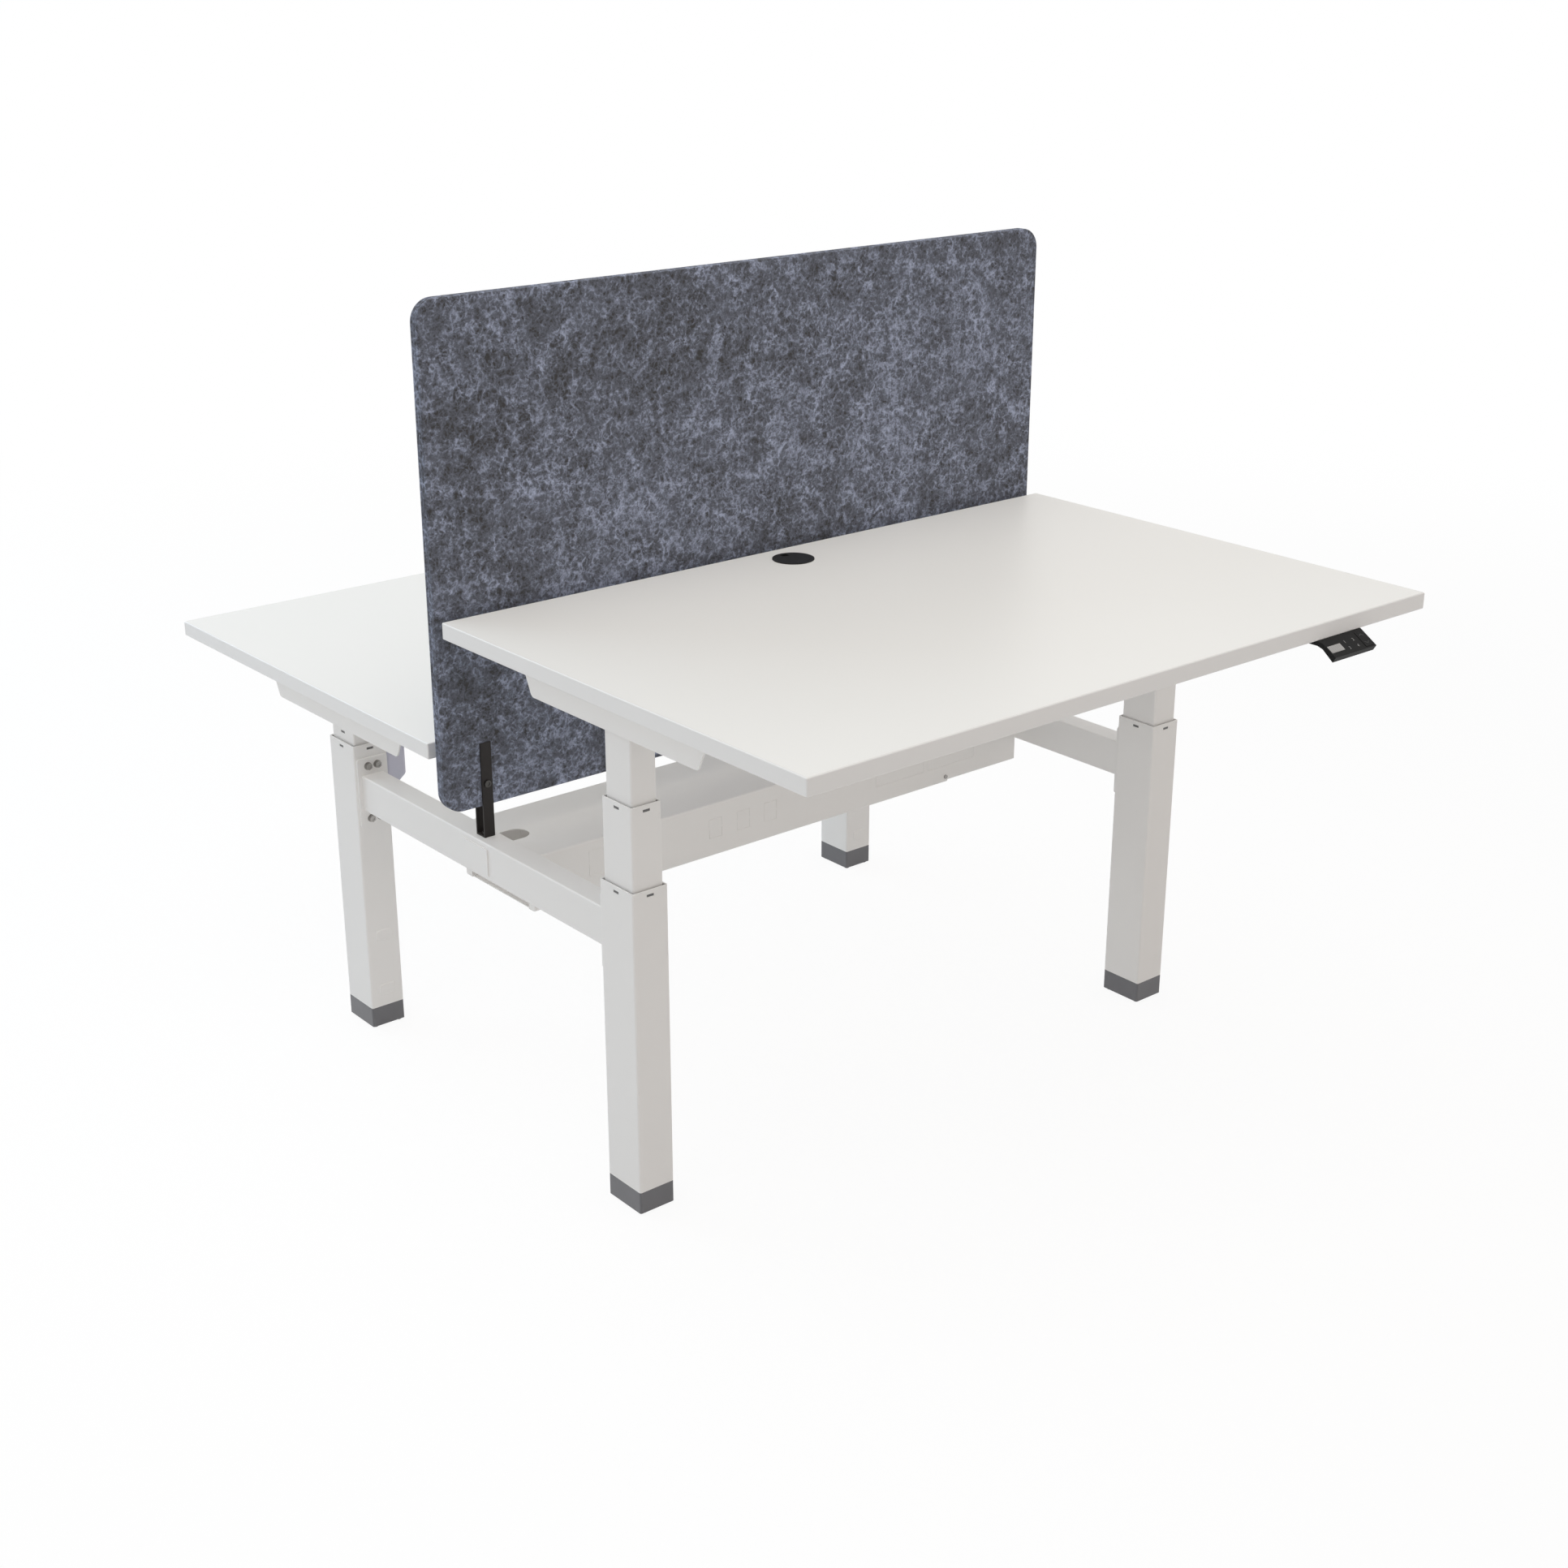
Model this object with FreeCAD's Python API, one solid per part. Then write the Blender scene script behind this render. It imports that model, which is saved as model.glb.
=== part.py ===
import FreeCAD, Part
import math
import os

# Two electric sit-stand desks stand back to back on one shared frame, with a
# felt screen between them. Millimetres, +Z up, origin on the floor in the middle.
# The front desk is at negative Y. The rear desk is the front one turned half round.

# Worktops
TOP_WIDTH = 1200.0
TOP_DEPTH = 800.0
TOP_THICK = 25.0
TOP_EDGE_ROUND = 2.0
TOP_GAP = 60.0
LOWEST_HEIGHT = 600.0
FRONT_RAISED = 206.0
REAR_RAISED = 6.0

# Telescopic columns, three stages
COLUMN_SIDE_INSET = 73.5
COLUMN_BACK_INSET = 347.0
OUTER_X = 60.0
OUTER_Y = 77.0
OUTER_WALL = 2.0
TUBE_CORNER = 3.0
STAGE_STEP = 4.5
MIDDLE_WALL = 2.0
MIDDLE_FLOOR_GAP = 9.0
MIDDLE_STAND = 20.0
MIDDLE_PLATE = 4.0
INNER_WALL = 2.0
INNER_FLOOR_GAP = 5.5
HEAD_PLATE = 5.0
HEAD_PLATE_LENGTH = 110.0
SLIDE_CLEARANCE = 0.3

# Guide bushes and their clip windows
BUSH_HEIGHT = 26.0
BUSH_SINK = 2.0
BUSH_CORNER = 2.0
WINDOW_WIDTH = 12.0
WINDOW_HEIGHT = 4.0
WINDOW_DROP = 8.0
LUG_CLEARANCE = 0.3

# Foot caps
CAP_HEIGHT = 34.0
CAP_SPIGOT = 12.0
CAP_SPIGOT_CLEARANCE = 0.2
NUB_HEIGHT = 3.0
NUB_RADIUS = 4.0
NUB_EDGE = 8.0

# Lifting drive
SCREW_RADIUS = 6.0
SCREW_FLOOR_GAP = 37.5
SCREW_SEAT = 14.0
PUSH_RADIUS = 12.0
PUSH_BORE = 9.0
PUSH_HEAD_GAP = 53.5
NUT_LENGTH = 20.0
GEARBOX_HEIGHT = 52.0
SHAFT_FLATS = 8.0
SHAFT_DROP = 34.0
SHAFT_PAST_AXIS = 8.0
SHAFT_BORE_GAP = 0.4
SHAFT_HOLE_RADIUS = 7.0
MOTOR_WIDTH = 37.5
MOTOR_DEPTH = 54.0
MOTOR_HEIGHT = 161.0
MOTOR_CORNER = 6.0
MOTOR_CHAMFER_X = 18.0
MOTOR_CHAMFER_Z = 14.5

# Side rails under the tops
RAIL_SHEET = 2.5
RAIL_SIDE_GAP = 1.0
RAIL_DEPTH = 52.0
RAIL_FRONT = 217.0
RAIL_BACK = 208.0
RAIL_END_SLOPE = 25.0
RAIL_CORNER = 8.0
RAIL_SCREW_RADIUS = 2.5
RAIL_SCREW_HEAD_RADIUS = 5.0
RAIL_SCREW_HEAD = 3.0
RAIL_SCREW_BITE = 16.0
RAIL_SCREW_END_INSET = 40.0
RAIL_SCREW_NEAR = 85.0
HEAD_BOLT_X = 34.0
HEAD_BOLT_Y = 90.0

# Cross beams with flange plates
CROSS_X = 40.0
CROSS_Z = 60.0
CROSS_WALL = 2.5
CROSS_CORNER = 3.0
CROSS_BELOW_RIM = 80.5
FLANGE_WIDTH = 54.0
FLANGE_HEIGHT = 117.0
FLANGE_THICK = 4.0
FLANGE_CORNER = 4.0
FLANGE_BOLT_X = 17.0
FLANGE_BOLT_Z = 90.0
COVER_WIDTH = 70.0
COVER_HEIGHT = 43.0
COVER_THICK = 2.0
COVER_CORNER = 1.0

# Bolts and screws
BOLT_RADIUS = 3.0
BOLT_HOLE_GAP = 0.3
BOLT_END = 1.5
BOLT_FLATS = 10.0
BOLT_HEAD = 4.5
BOLT_RIM_RADIUS = 6.5
BOLT_RIM = 1.5
BOLT_DIMPLE = 1.0
BOLT_DIMPLE_RADIUS = 3.0
JOINT_SCREW_RADIUS = 2.0
JOINT_SCREW_HEAD_RADIUS = 3.5
JOINT_SCREW_HEAD = 2.2
END_SCREW_HEAD_RADIUS = 5.0
END_SCREW_HEAD = 3.3
SCREW_PAST = 3.0

# Cable beam
TRAY_WIDTH = 189.0
TRAY_HEIGHT = 88.0
TRAY_SHEET = 1.5
TRAY_BEND = 3.0
TRAY_DROP = 13.0
TRAY_LIP = 15.0
TRAY_END_LIP = 14.0
TRAY_INNER_SHOWN = 163.5
TRAY_OVERLAP = 143.0
TRAY_SLIDE_GAP = 0.3
LID_SIDE_GAP = 0.5
LID_END_GAP = 2.0
NOTCH_WIDTH = 40.0
NOTCH_LENGTH = 53.5
END_SCREW_DROP = 40.0
JOINT_SCREW_INSET = 5.0
JOINT_SCREW_RISE = 10.0
SLIT = 0.4
SLIT_TAB = 3.0
SLIT_BASE_RISE = 30.5
SOCKET_WIDTH = 109.0
SOCKET_HEIGHT = 41.0
SOCKET_END_INSET = 155.5
SOCKET_PITCH = 119.0
DATA_WIDTH = 25.0
DATA_HEIGHT = 32.0
DATA_PITCH = 56.0
DATA_COUNT = 3
DATA_END_INSET = 343.5

# Felt screen and its brackets
SCREEN_HEIGHT = 752.0
SCREEN_THICK = 18.0
SCREEN_CORNER = 33.0
SCREEN_RISE = 50.5
BRACKET_WIDTH = 18.0
BRACKET_HEIGHT = 150.0
BRACKET_SHEET = 2.5
BRACKET_BOLT_RISE = 85.5
BRACKET_HEAD_RADIUS = 5.5
BRACKET_HEAD = 2.5

# Control box
BOX_WIDTH = 220.0
BOX_DEPTH = 90.0
BOX_HEIGHT = 32.0
BOX_CORNER = 5.0
BOX_BACK_INSET = 125.0
INLET_WIDTH = 27.0
INLET_HEIGHT = 20.0
INLET_DEEP = 12.0
INLET_SIDE_INSET = 30.0
PORT_WIDTH = 16.0
PORT_HEIGHT = 10.0
PORT_PITCH = 26.0
PORT_COUNT = 4
PORT_SIDE_INSET = 30.0

# Handset under the front edge
HANDSET_SIDE_INSET = 199.0
HANDSET_WIDTH = 94.0
HANDSET_REACH = 30.0
HANDSET_TILT = 32.0
HANDSET_LIP = 9.5
HANDSET_BACK = 38.0
HANDSET_BODY = 7.0
HANDSET_SHOULDER = 5.0
HANDSET_SHOULDER_REACH = 6.0
WINDOW_X = -30.2
WINDOW_LONG = 29.5
WINDOW_TALL = 13.2
WINDOW_SLOPE = 20.0
WINDOW_DEEP = 0.8
ROCKER_EDGE = 12.0
ROCKER_SLOPE = 18.5
ROCKER_WIDTH = 17.0
ROCKER_LENGTH = 28.0
ROCKER_THICK = 2.4
ROCKER_GAP = 0.4
ROCKER_DEEP = 3.4
ROCKER_PROUD = 0.6
ROCKER_PIN_RADIUS = 0.8
ROCKER_PIN_GAP = 0.15
ROCKER_PIN_LENGTH = 1.2

# Cable grommet
GROMMET_HOLE = 29.0
GROMMET_BACK_INSET = 60.0
GROMMET_FLANGE = 33.0
GROMMET_FLANGE_THICK = 1.5
GROMMET_WALL = 2.0
GROMMET_FIT = 0.3
GROMMET_LENGTH = 20.0
GROMMET_LEDGE = 3.0
GROMMET_CAP_THICK = 3.0
GROMMET_CAP_GAP = 0.3
GROMMET_NOTCH_WIDTH = 12.5
GROMMET_NOTCH_DEEP = 10.5

# Places that follow from the sizes above
COLUMN_X = TOP_WIDTH / 2 - COLUMN_SIDE_INSET
TOP_BACK = TOP_GAP / 2
TOP_FRONT = TOP_BACK + TOP_DEPTH
COLUMN_Y = TOP_BACK + COLUMN_BACK_INSET
FRONT_HEIGHT = LOWEST_HEIGHT + FRONT_RAISED
REAR_HEIGHT = LOWEST_HEIGHT + REAR_RAISED
LOWEST_UNDERSIDE = LOWEST_HEIGHT - TOP_THICK
CAP_TOP = NUB_HEIGHT + CAP_HEIGHT
OUTER_RIM = LOWEST_UNDERSIDE - RAIL_DEPTH - MIDDLE_STAND
MIDDLE_FLOOR = CAP_TOP + CAP_SPIGOT + MIDDLE_FLOOR_GAP
MIDDLE_LENGTH = OUTER_RIM + MIDDLE_STAND - MIDDLE_FLOOR
PUSH_FLOOR = MIDDLE_FLOOR + MIDDLE_PLATE
LOWEST_HEAD = LOWEST_UNDERSIDE - RAIL_SHEET - HEAD_PLATE
INNER_LENGTH = LOWEST_HEAD - PUSH_FLOOR - INNER_FLOOR_GAP
SCREW_LENGTH = LOWEST_HEAD - GEARBOX_HEIGHT + SCREW_SEAT - PUSH_FLOOR - SCREW_FLOOR_GAP
PUSH_LENGTH = LOWEST_HEAD - GEARBOX_HEIGHT - PUSH_HEAD_GAP - PUSH_FLOOR
MIDDLE_X = OUTER_X - 2 * STAGE_STEP
MIDDLE_Y = OUTER_Y - 2 * STAGE_STEP
INNER_X = MIDDLE_X - 2 * STAGE_STEP
INNER_Y = MIDDLE_Y - 2 * STAGE_STEP
RAIL_INSIDE = OUTER_X + 2 * RAIL_SIDE_GAP
RAIL_WIDTH = RAIL_INSIDE + 2 * RAIL_SHEET
CROSS_CENTRE = OUTER_RIM - CROSS_BELOW_RIM
CROSS_TOP = CROSS_CENTRE + CROSS_Z / 2
TRAY_TOP = CROSS_TOP - TRAY_DROP
TRAY_BASE = TRAY_TOP - TRAY_HEIGHT
TRAY_END = COLUMN_X - CROSS_X / 2
TRAY_JOINT_X = TRAY_END - TRAY_INNER_SHOWN
SOCKET_X = TRAY_END - SOCKET_END_INSET
SECOND_SOCKET_X = SOCKET_X - SOCKET_PITCH
DATA_X = DATA_END_INSET - TRAY_END
SCREEN_WIDTH = TOP_WIDTH
INLET_X = BOX_WIDTH / 2 - INLET_SIDE_INSET
PORT_X = PORT_SIDE_INSET - BOX_WIDTH / 2
HANDSET_X = TOP_WIDTH / 2 - HANDSET_SIDE_INSET
SCREEN_BASE = CROSS_TOP + SCREEN_RISE
SHAFT_BORE = SHAFT_FLATS / math.sqrt(3) + SHAFT_BORE_GAP

ORIGIN = FreeCAD.Vector(0, 0, 0)
AXIS_X = FreeCAD.Vector(1, 0, 0)
AXIS_Z = FreeCAD.Vector(0, 0, 1)
DIAGONAL = FreeCAD.Vector(1, 1, 1)
NODES = {}


def vec(x, y, z):
    return FreeCAD.Vector(x, y, z)


def block(x_span, y_span, z_span):
    """A box between two values along each axis."""
    size = [span[1] - span[0] for span in (x_span, y_span, z_span)]
    return Part.makeBox(size[0], size[1], size[2], vec(x_span[0], y_span[0], z_span[0]))


def middle(centre, size):
    """The span of a size about its centre."""
    return (centre - size / 2, centre + size / 2)


def rounded_outline(width, depth, radius):
    """A rectangle about the origin with round corners, as a wire in the XY plane."""
    half_x = width / 2
    half_y = depth / 2
    flat_x = half_x - radius
    flat_y = half_y - radius
    slant = radius * math.sqrt(0.5)
    edges = []
    for turn in range(4):
        spin = FreeCAD.Rotation(AXIS_Z, 90 * turn)
        along, out = (flat_x, half_y) if turn % 2 else (flat_y, half_x)
        corner = vec(out - radius, along, 0)
        start = spin.multVec(vec(out, -along, 0))
        end = spin.multVec(vec(out, along, 0))
        mid = spin.multVec(corner + vec(slant, slant, 0))
        last = spin.multVec(corner + vec(0, radius, 0))
        edges.append(Part.LineSegment(start, end).toShape())
        edges.append(Part.Arc(end, mid, last).toShape())
    return Part.Wire(edges)


def bar(width, depth, radius, z_span):
    """An upright bar with round corners."""
    outline = rounded_outline(width, depth, radius)
    outline.translate(vec(0, 0, z_span[0]))
    return Part.Face(outline).extrude(vec(0, 0, z_span[1] - z_span[0]))


def tube(width, depth, wall, radius, z_span):
    """An upright rectangular tube whose bore keeps an even wall."""
    bore_radius = max(radius - wall, wall / 2)
    bore = bar(width - 2 * wall, depth - 2 * wall, bore_radius, z_span)
    return bar(width, depth, radius, z_span).cut(bore)


def turned_to_x(shape):
    """Turn X, Y and Z of a shape into Y, Z and X."""
    shape.rotate(ORIGIN, DIAGONAL, 120)
    return shape


def turned_to_y(shape):
    """Turn X, Y and Z of a shape into Z, X and Y."""
    shape.rotate(ORIGIN, DIAGONAL, 240)
    return shape


def rod(radius, start, end):
    """A round rod between two points."""
    path = end - start
    return Part.makeCylinder(radius, path.Length, start, path)


def hex_rod(flats, start, end):
    """A level hexagonal rod between two points, with a corner at the top."""
    path = end - start
    point = AXIS_Z * (flats / math.sqrt(3))
    corners = []
    for corner in range(6):
        spin = FreeCAD.Rotation(path, 60 * corner)
        corners.append(start + spin.multVec(point))
    return Part.Face(Part.makePolygon(corners + corners[:1])).extrude(path)


def moved(shape, x, y, z):
    copy = shape.copy()
    copy.translate(vec(x, y, z))
    return copy


def joined(shapes):
    """One solid from overlapping or touching shapes."""
    return shapes[0].fuse(shapes[1:]).removeSplitter()


def keep(name, *shapes):
    """Store a node as one solid or as a group of separate solids."""
    solids = [solid for shape in shapes for solid in shape.Solids]
    for solid in solids:
        if not solid.isValid():
            raise ValueError("bad solid in " + name)
    NODES[name] = solids[0] if len(solids) == 1 else Part.makeCompound(solids)


def columns():
    """Desk name, side name, column axis and the signs of its X and Y."""
    for desk, sign_y in (("front", -1), ("rear", 1)):
        for side, sign_x in (("left", -1), ("right", 1)):
            yield desk, side, sign_x, sign_y


def height(desk):
    return FRONT_HEIGHT if desk == "front" else REAR_HEIGHT


def underside(desk):
    return height(desk) - TOP_THICK


def middle_rim(desk):
    """The middle stage climbs half as far as the top."""
    return OUTER_RIM + MIDDLE_STAND + (height(desk) - LOWEST_HEIGHT) / 2


def set_on_column(shape, sign_x, sign_y):
    return moved(shape, sign_x * COLUMN_X, sign_y * COLUMN_Y, 0)


def set_at_desk(shape, desk):
    """A piece drawn for the front desk, turned half round and shifted for the rear."""
    if desk == "front":
        return shape
    shape.rotate(ORIGIN, AXIS_Z, 180)
    return moved(shape, 0, 0, REAR_HEIGHT - FRONT_HEIGHT)


def clip_windows(width, depth, wall, rim, shrink, sink):
    """Blocks that fill the four clip windows below a tube's rim."""
    z_span = middle(rim - WINDOW_DROP, WINDOW_HEIGHT - 2 * shrink)
    across = middle(0, WINDOW_WIDTH - 2 * shrink)
    blocks = []
    for sign in (-1, 1):
        x_ends = sorted((sign * (width / 2 - wall), sign * (width / 2 - sink)))
        y_ends = sorted((sign * (depth / 2 - wall), sign * (depth / 2 - sink)))
        blocks.append(block(x_ends, across, z_span))
        blocks.append(block(across, y_ends, z_span))
    return blocks


def guide_bush(width, depth, wall, next_width, next_depth, rim):
    """A sleeve inside a tube's rim, with lugs that click into its clip windows."""
    top = rim - BUSH_SINK
    z_span = (top - BUSH_HEIGHT, top)
    sleeve = bar(width - 2 * wall, depth - 2 * wall, BUSH_CORNER, z_span)
    bore_x = next_width + 2 * SLIDE_CLEARANCE
    bore_y = next_depth + 2 * SLIDE_CLEARANCE
    lugs = clip_windows(width, depth, wall, rim, LUG_CLEARANCE, LUG_CLEARANCE)
    return joined([sleeve] + lugs).cut(bar(bore_x, bore_y, TUBE_CORNER, z_span))


def flange_bolt_places():
    """Bolt places on a flange plate: X from the column axis, and Z."""
    for side in (-1, 1):
        for level in (-1, 1):
            yield side * FLANGE_BOLT_X / 2, CROSS_CENTRE + level * FLANGE_BOLT_Z / 2


def outer_tube(sign_y):
    """The fixed tube, drilled on the face that looks at the other desk."""
    body = tube(OUTER_X, OUTER_Y, OUTER_WALL, TUBE_CORNER, (CAP_TOP, OUTER_RIM))
    cuts = clip_windows(OUTER_X, OUTER_Y, OUTER_WALL, OUTER_RIM, 0, 0)
    face = -sign_y * OUTER_Y / 2
    for x, z in flange_bolt_places():
        cuts.append(rod(BOLT_RADIUS + BOLT_HOLE_GAP, vec(x, 0, z), vec(x, face, z)))
    return body.cut(cuts)


def foot_cap():
    """A plug under the outer tube with a spigot inside it and four glide nubs."""
    spigot_x = OUTER_X - 2 * OUTER_WALL - 2 * CAP_SPIGOT_CLEARANCE
    spigot_y = OUTER_Y - 2 * OUTER_WALL - 2 * CAP_SPIGOT_CLEARANCE
    pieces = [bar(OUTER_X, OUTER_Y, TUBE_CORNER, (NUB_HEIGHT, CAP_TOP))]
    pieces.append(bar(spigot_x, spigot_y, BUSH_CORNER, (CAP_TOP, CAP_TOP + CAP_SPIGOT)))
    for sign_x in (-1, 1):
        for sign_y in (-1, 1):
            x = sign_x * (OUTER_X / 2 - NUB_EDGE)
            y = sign_y * (OUTER_Y / 2 - NUB_EDGE)
            pieces.append(rod(NUB_RADIUS, vec(x, y, 0), vec(x, y, NUB_HEIGHT)))
    return joined(pieces)


def middle_tube(rim):
    """The middle tube with its bottom plate and the push tube that holds the nut."""
    base = rim - MIDDLE_LENGTH
    plate_top = base + MIDDLE_PLATE
    push_top = plate_top + PUSH_LENGTH
    nut_bore = SCREW_RADIUS + SLIDE_CLEARANCE
    body = tube(MIDDLE_X, MIDDLE_Y, MIDDLE_WALL, TUBE_CORNER, (base, rim))
    body = body.cut(clip_windows(MIDDLE_X, MIDDLE_Y, MIDDLE_WALL, rim, 0, 0))
    plate = bar(MIDDLE_X, MIDDLE_Y, TUBE_CORNER, (base, plate_top))
    push = rod(PUSH_RADIUS, vec(0, 0, plate_top), vec(0, 0, push_top))
    push = push.cut([
        rod(PUSH_BORE, vec(0, 0, plate_top), vec(0, 0, push_top - NUT_LENGTH)),
        rod(nut_bore, vec(0, 0, plate_top), vec(0, 0, push_top)),
    ])
    return joined([body, plate, push])


def inner_tube(under, sign_x):
    """The tube that carries the top, with a head plate and a hole for the cross shaft."""
    plate_top = under - RAIL_SHEET
    top = plate_top - HEAD_PLATE
    body = tube(INNER_X, INNER_Y, INNER_WALL, TUBE_CORNER, (top - INNER_LENGTH, top))
    shaft = under - SHAFT_DROP
    hole = rod(SHAFT_HOLE_RADIUS, vec(0, 0, shaft), vec(-sign_x * INNER_X, 0, shaft))
    plate_x = RAIL_INSIDE - 2 * SLIDE_CLEARANCE
    plate = block(middle(0, plate_x), middle(0, HEAD_PLATE_LENGTH), (top, plate_top))
    return joined([body.cut(hole), plate]).cut(rail_screw_holes(under))


def rail_screw_places():
    """Screws of one rail: X and Y from the column axis, and the seat's depth below the top."""
    for sign in (-1, 1):
        yield 0, sign * RAIL_SCREW_NEAR, RAIL_SHEET
        yield 0, sign * (RAIL_BACK - RAIL_SCREW_END_INSET), RAIL_SHEET
        for side in (-1, 1):
            yield side * HEAD_BOLT_X / 2, sign * HEAD_BOLT_Y / 2, RAIL_SHEET + HEAD_PLATE


def rail_screw_holes(under):
    """Holes for one rail's screws, from below the head plate up into the board."""
    holes = []
    for x, y, seat in rail_screw_places():
        start = vec(x, y, under - seat)
        end = vec(x, y, under + RAIL_SCREW_BITE + BOLT_HOLE_GAP)
        holes.append(rod(RAIL_SCREW_RADIUS + BOLT_HOLE_GAP, start, end))
    return holes


def rail_screws():
    """The screws of both rails and head plates, which bite into the board."""
    under = underside("front")
    screws = []
    for sign_x in (-1, 1):
        for x, y, seat in rail_screw_places():
            start = vec(sign_x * COLUMN_X + x, y - COLUMN_Y, under - seat)
            reach = seat + RAIL_SCREW_BITE
            screws.append(cross_screw(start, AXIS_Z, RAIL_SCREW_HEAD_RADIUS, RAIL_SCREW_HEAD,
                                      RAIL_SCREW_RADIUS, reach))
    return Part.makeCompound(screws)


def gearbox_base(under):
    return under - RAIL_SHEET - HEAD_PLATE - GEARBOX_HEIGHT


def bevel_gearbox(under, sign_x):
    """A block in the head of the inner tube where the cross shaft turns the screw."""
    size_x = INNER_X - 2 * INNER_WALL - 2 * SLIDE_CLEARANCE
    size_y = INNER_Y - 2 * INNER_WALL - 2 * SLIDE_CLEARANCE
    base = gearbox_base(under)
    body = bar(size_x, size_y, BUSH_CORNER, (base, base + GEARBOX_HEIGHT))
    shaft = under - SHAFT_DROP
    far_end = sign_x * (SHAFT_PAST_AXIS + SHAFT_BORE_GAP)
    screw_bore = SCREW_RADIUS + SLIDE_CLEARANCE
    return body.cut([
        rod(SHAFT_BORE, vec(far_end, 0, shaft), vec(-sign_x * INNER_X, 0, shaft)),
        rod(screw_bore, vec(0, 0, base), vec(0, 0, base + SCREW_SEAT)),
    ])


def lift_screw(under):
    """The screw hangs from the gearbox and runs in the nut of the push tube."""
    top = gearbox_base(under) + SCREW_SEAT
    return rod(SCREW_RADIUS, vec(0, 0, top - SCREW_LENGTH), vec(0, 0, top))


def build_columns():
    bushes = []
    gearboxes = {"front": [], "rear": []}
    for desk, side, sign_x, sign_y in columns():
        name = desk + "_" + side
        rim = middle_rim(desk)
        under = underside(desk)
        bush = guide_bush(OUTER_X, OUTER_Y, OUTER_WALL, MIDDLE_X, MIDDLE_Y, OUTER_RIM)
        bushes.append(set_on_column(bush, sign_x, sign_y))
        second = guide_bush(MIDDLE_X, MIDDLE_Y, MIDDLE_WALL, INNER_X, INNER_Y, rim)
        gearbox = set_on_column(bevel_gearbox(under, sign_x), sign_x, sign_y)
        gearboxes[desk].append(gearbox)
        stages = {
            "outer_tube": outer_tube(sign_y),
            "foot_cap": foot_cap(),
            "middle_tube": middle_tube(rim),
            "middle_bush": second,
            "inner_tube": inner_tube(under, sign_x),
            "lift_screw": lift_screw(under),
        }
        for piece, shape in stages.items():
            keep(name + "_" + piece, set_on_column(shape, sign_x, sign_y))
    keep("outer_guide_bushes", *bushes)
    for desk, pair in gearboxes.items():
        keep(desk + "_bevel_gearboxes", *pair)


def flange_bolt(sign_y):
    """A hexagon bolt with a round rim, its head towards the middle of the beam."""
    face = COLUMN_Y - OUTER_Y / 2 - FLANGE_THICK
    end = COLUMN_Y - OUTER_Y / 2 + OUTER_WALL + BOLT_END
    tip = face - BOLT_RIM - BOLT_HEAD
    head = hex_rod(BOLT_FLATS, vec(0, tip, 0), vec(0, face - BOLT_RIM, 0))
    dimple = rod(BOLT_DIMPLE_RADIUS, vec(0, tip, 0), vec(0, tip + BOLT_DIMPLE, 0))
    rim = rod(BOLT_RIM_RADIUS, vec(0, face - BOLT_RIM, 0), vec(0, face, 0))
    shank = rod(BOLT_RADIUS, vec(0, face, 0), vec(0, end, 0))
    bolt = joined([head.cut(dimple), rim, shank])
    if sign_y < 0:
        bolt.rotate(ORIGIN, AXIS_Z, 180)
    return bolt


def cross_beam(sign_x):
    """A rectangular tube along Y, closed by a drilled flange plate at each end."""
    face = COLUMN_Y - OUTER_Y / 2
    plate_start = face - FLANGE_THICK
    body = tube(CROSS_Z, CROSS_X, CROSS_WALL, CROSS_CORNER, (-plate_start, plate_start))
    pieces = [turned_to_y(body)]
    holes = []
    for sign_y in (-1, 1):
        span = sorted((sign_y * plate_start, sign_y * face))
        pieces.append(turned_to_y(bar(FLANGE_HEIGHT, FLANGE_WIDTH, FLANGE_CORNER, span)))
        for x, z in flange_bolt_places():
            level = z - CROSS_CENTRE
            reach = vec(0, sign_y * FLANGE_THICK, 0)
            start = vec(x, sign_y * plate_start, level)
            holes.append(rod(BOLT_RADIUS + BOLT_HOLE_GAP, start, start + reach))
    for sign_y in (-1, 1):
        y = sign_y * end_screw_y()
        level = end_screw_z() - CROSS_CENTRE
        holes.append(rod(BOLT_RADIUS + BOLT_HOLE_GAP, vec(0, y, level), vec(-sign_x * CROSS_X, y, level)))
    holes.append(rod(BOLT_RADIUS + BOLT_HOLE_GAP, ORIGIN, vec(0, 0, CROSS_Z)))
    return moved(joined(pieces).cut(holes), sign_x * COLUMN_X, 0, CROSS_CENTRE)


def end_screw_y():
    return TRAY_WIDTH / 2 - TRAY_SHEET - TRAY_SLIDE_GAP - TRAY_SHEET - TRAY_END_LIP / 2


def end_screw_z():
    return CROSS_TOP - END_SCREW_DROP


def build_cross_beams():
    bolts = []
    covers = []
    for side, sign_x in (("left", -1), ("right", 1)):
        keep(side + "_cross_beam", cross_beam(sign_x))
        for sign_y in (-1, 1):
            bolt = flange_bolt(sign_y)
            for x, z in flange_bolt_places():
                bolts.append(moved(bolt, sign_x * COLUMN_X + x, 0, z))
        face = sign_x * (COLUMN_X + CROSS_X / 2)
        span = sorted((face, face + sign_x * COVER_THICK))
        cover = turned_to_x(bar(COVER_WIDTH, COVER_HEIGHT, COVER_CORNER, span))
        covers.append(moved(cover, 0, 0, CROSS_CENTRE))
    keep("cross_beam_bolts", *bolts)
    keep("cross_beam_covers", *covers)


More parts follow.
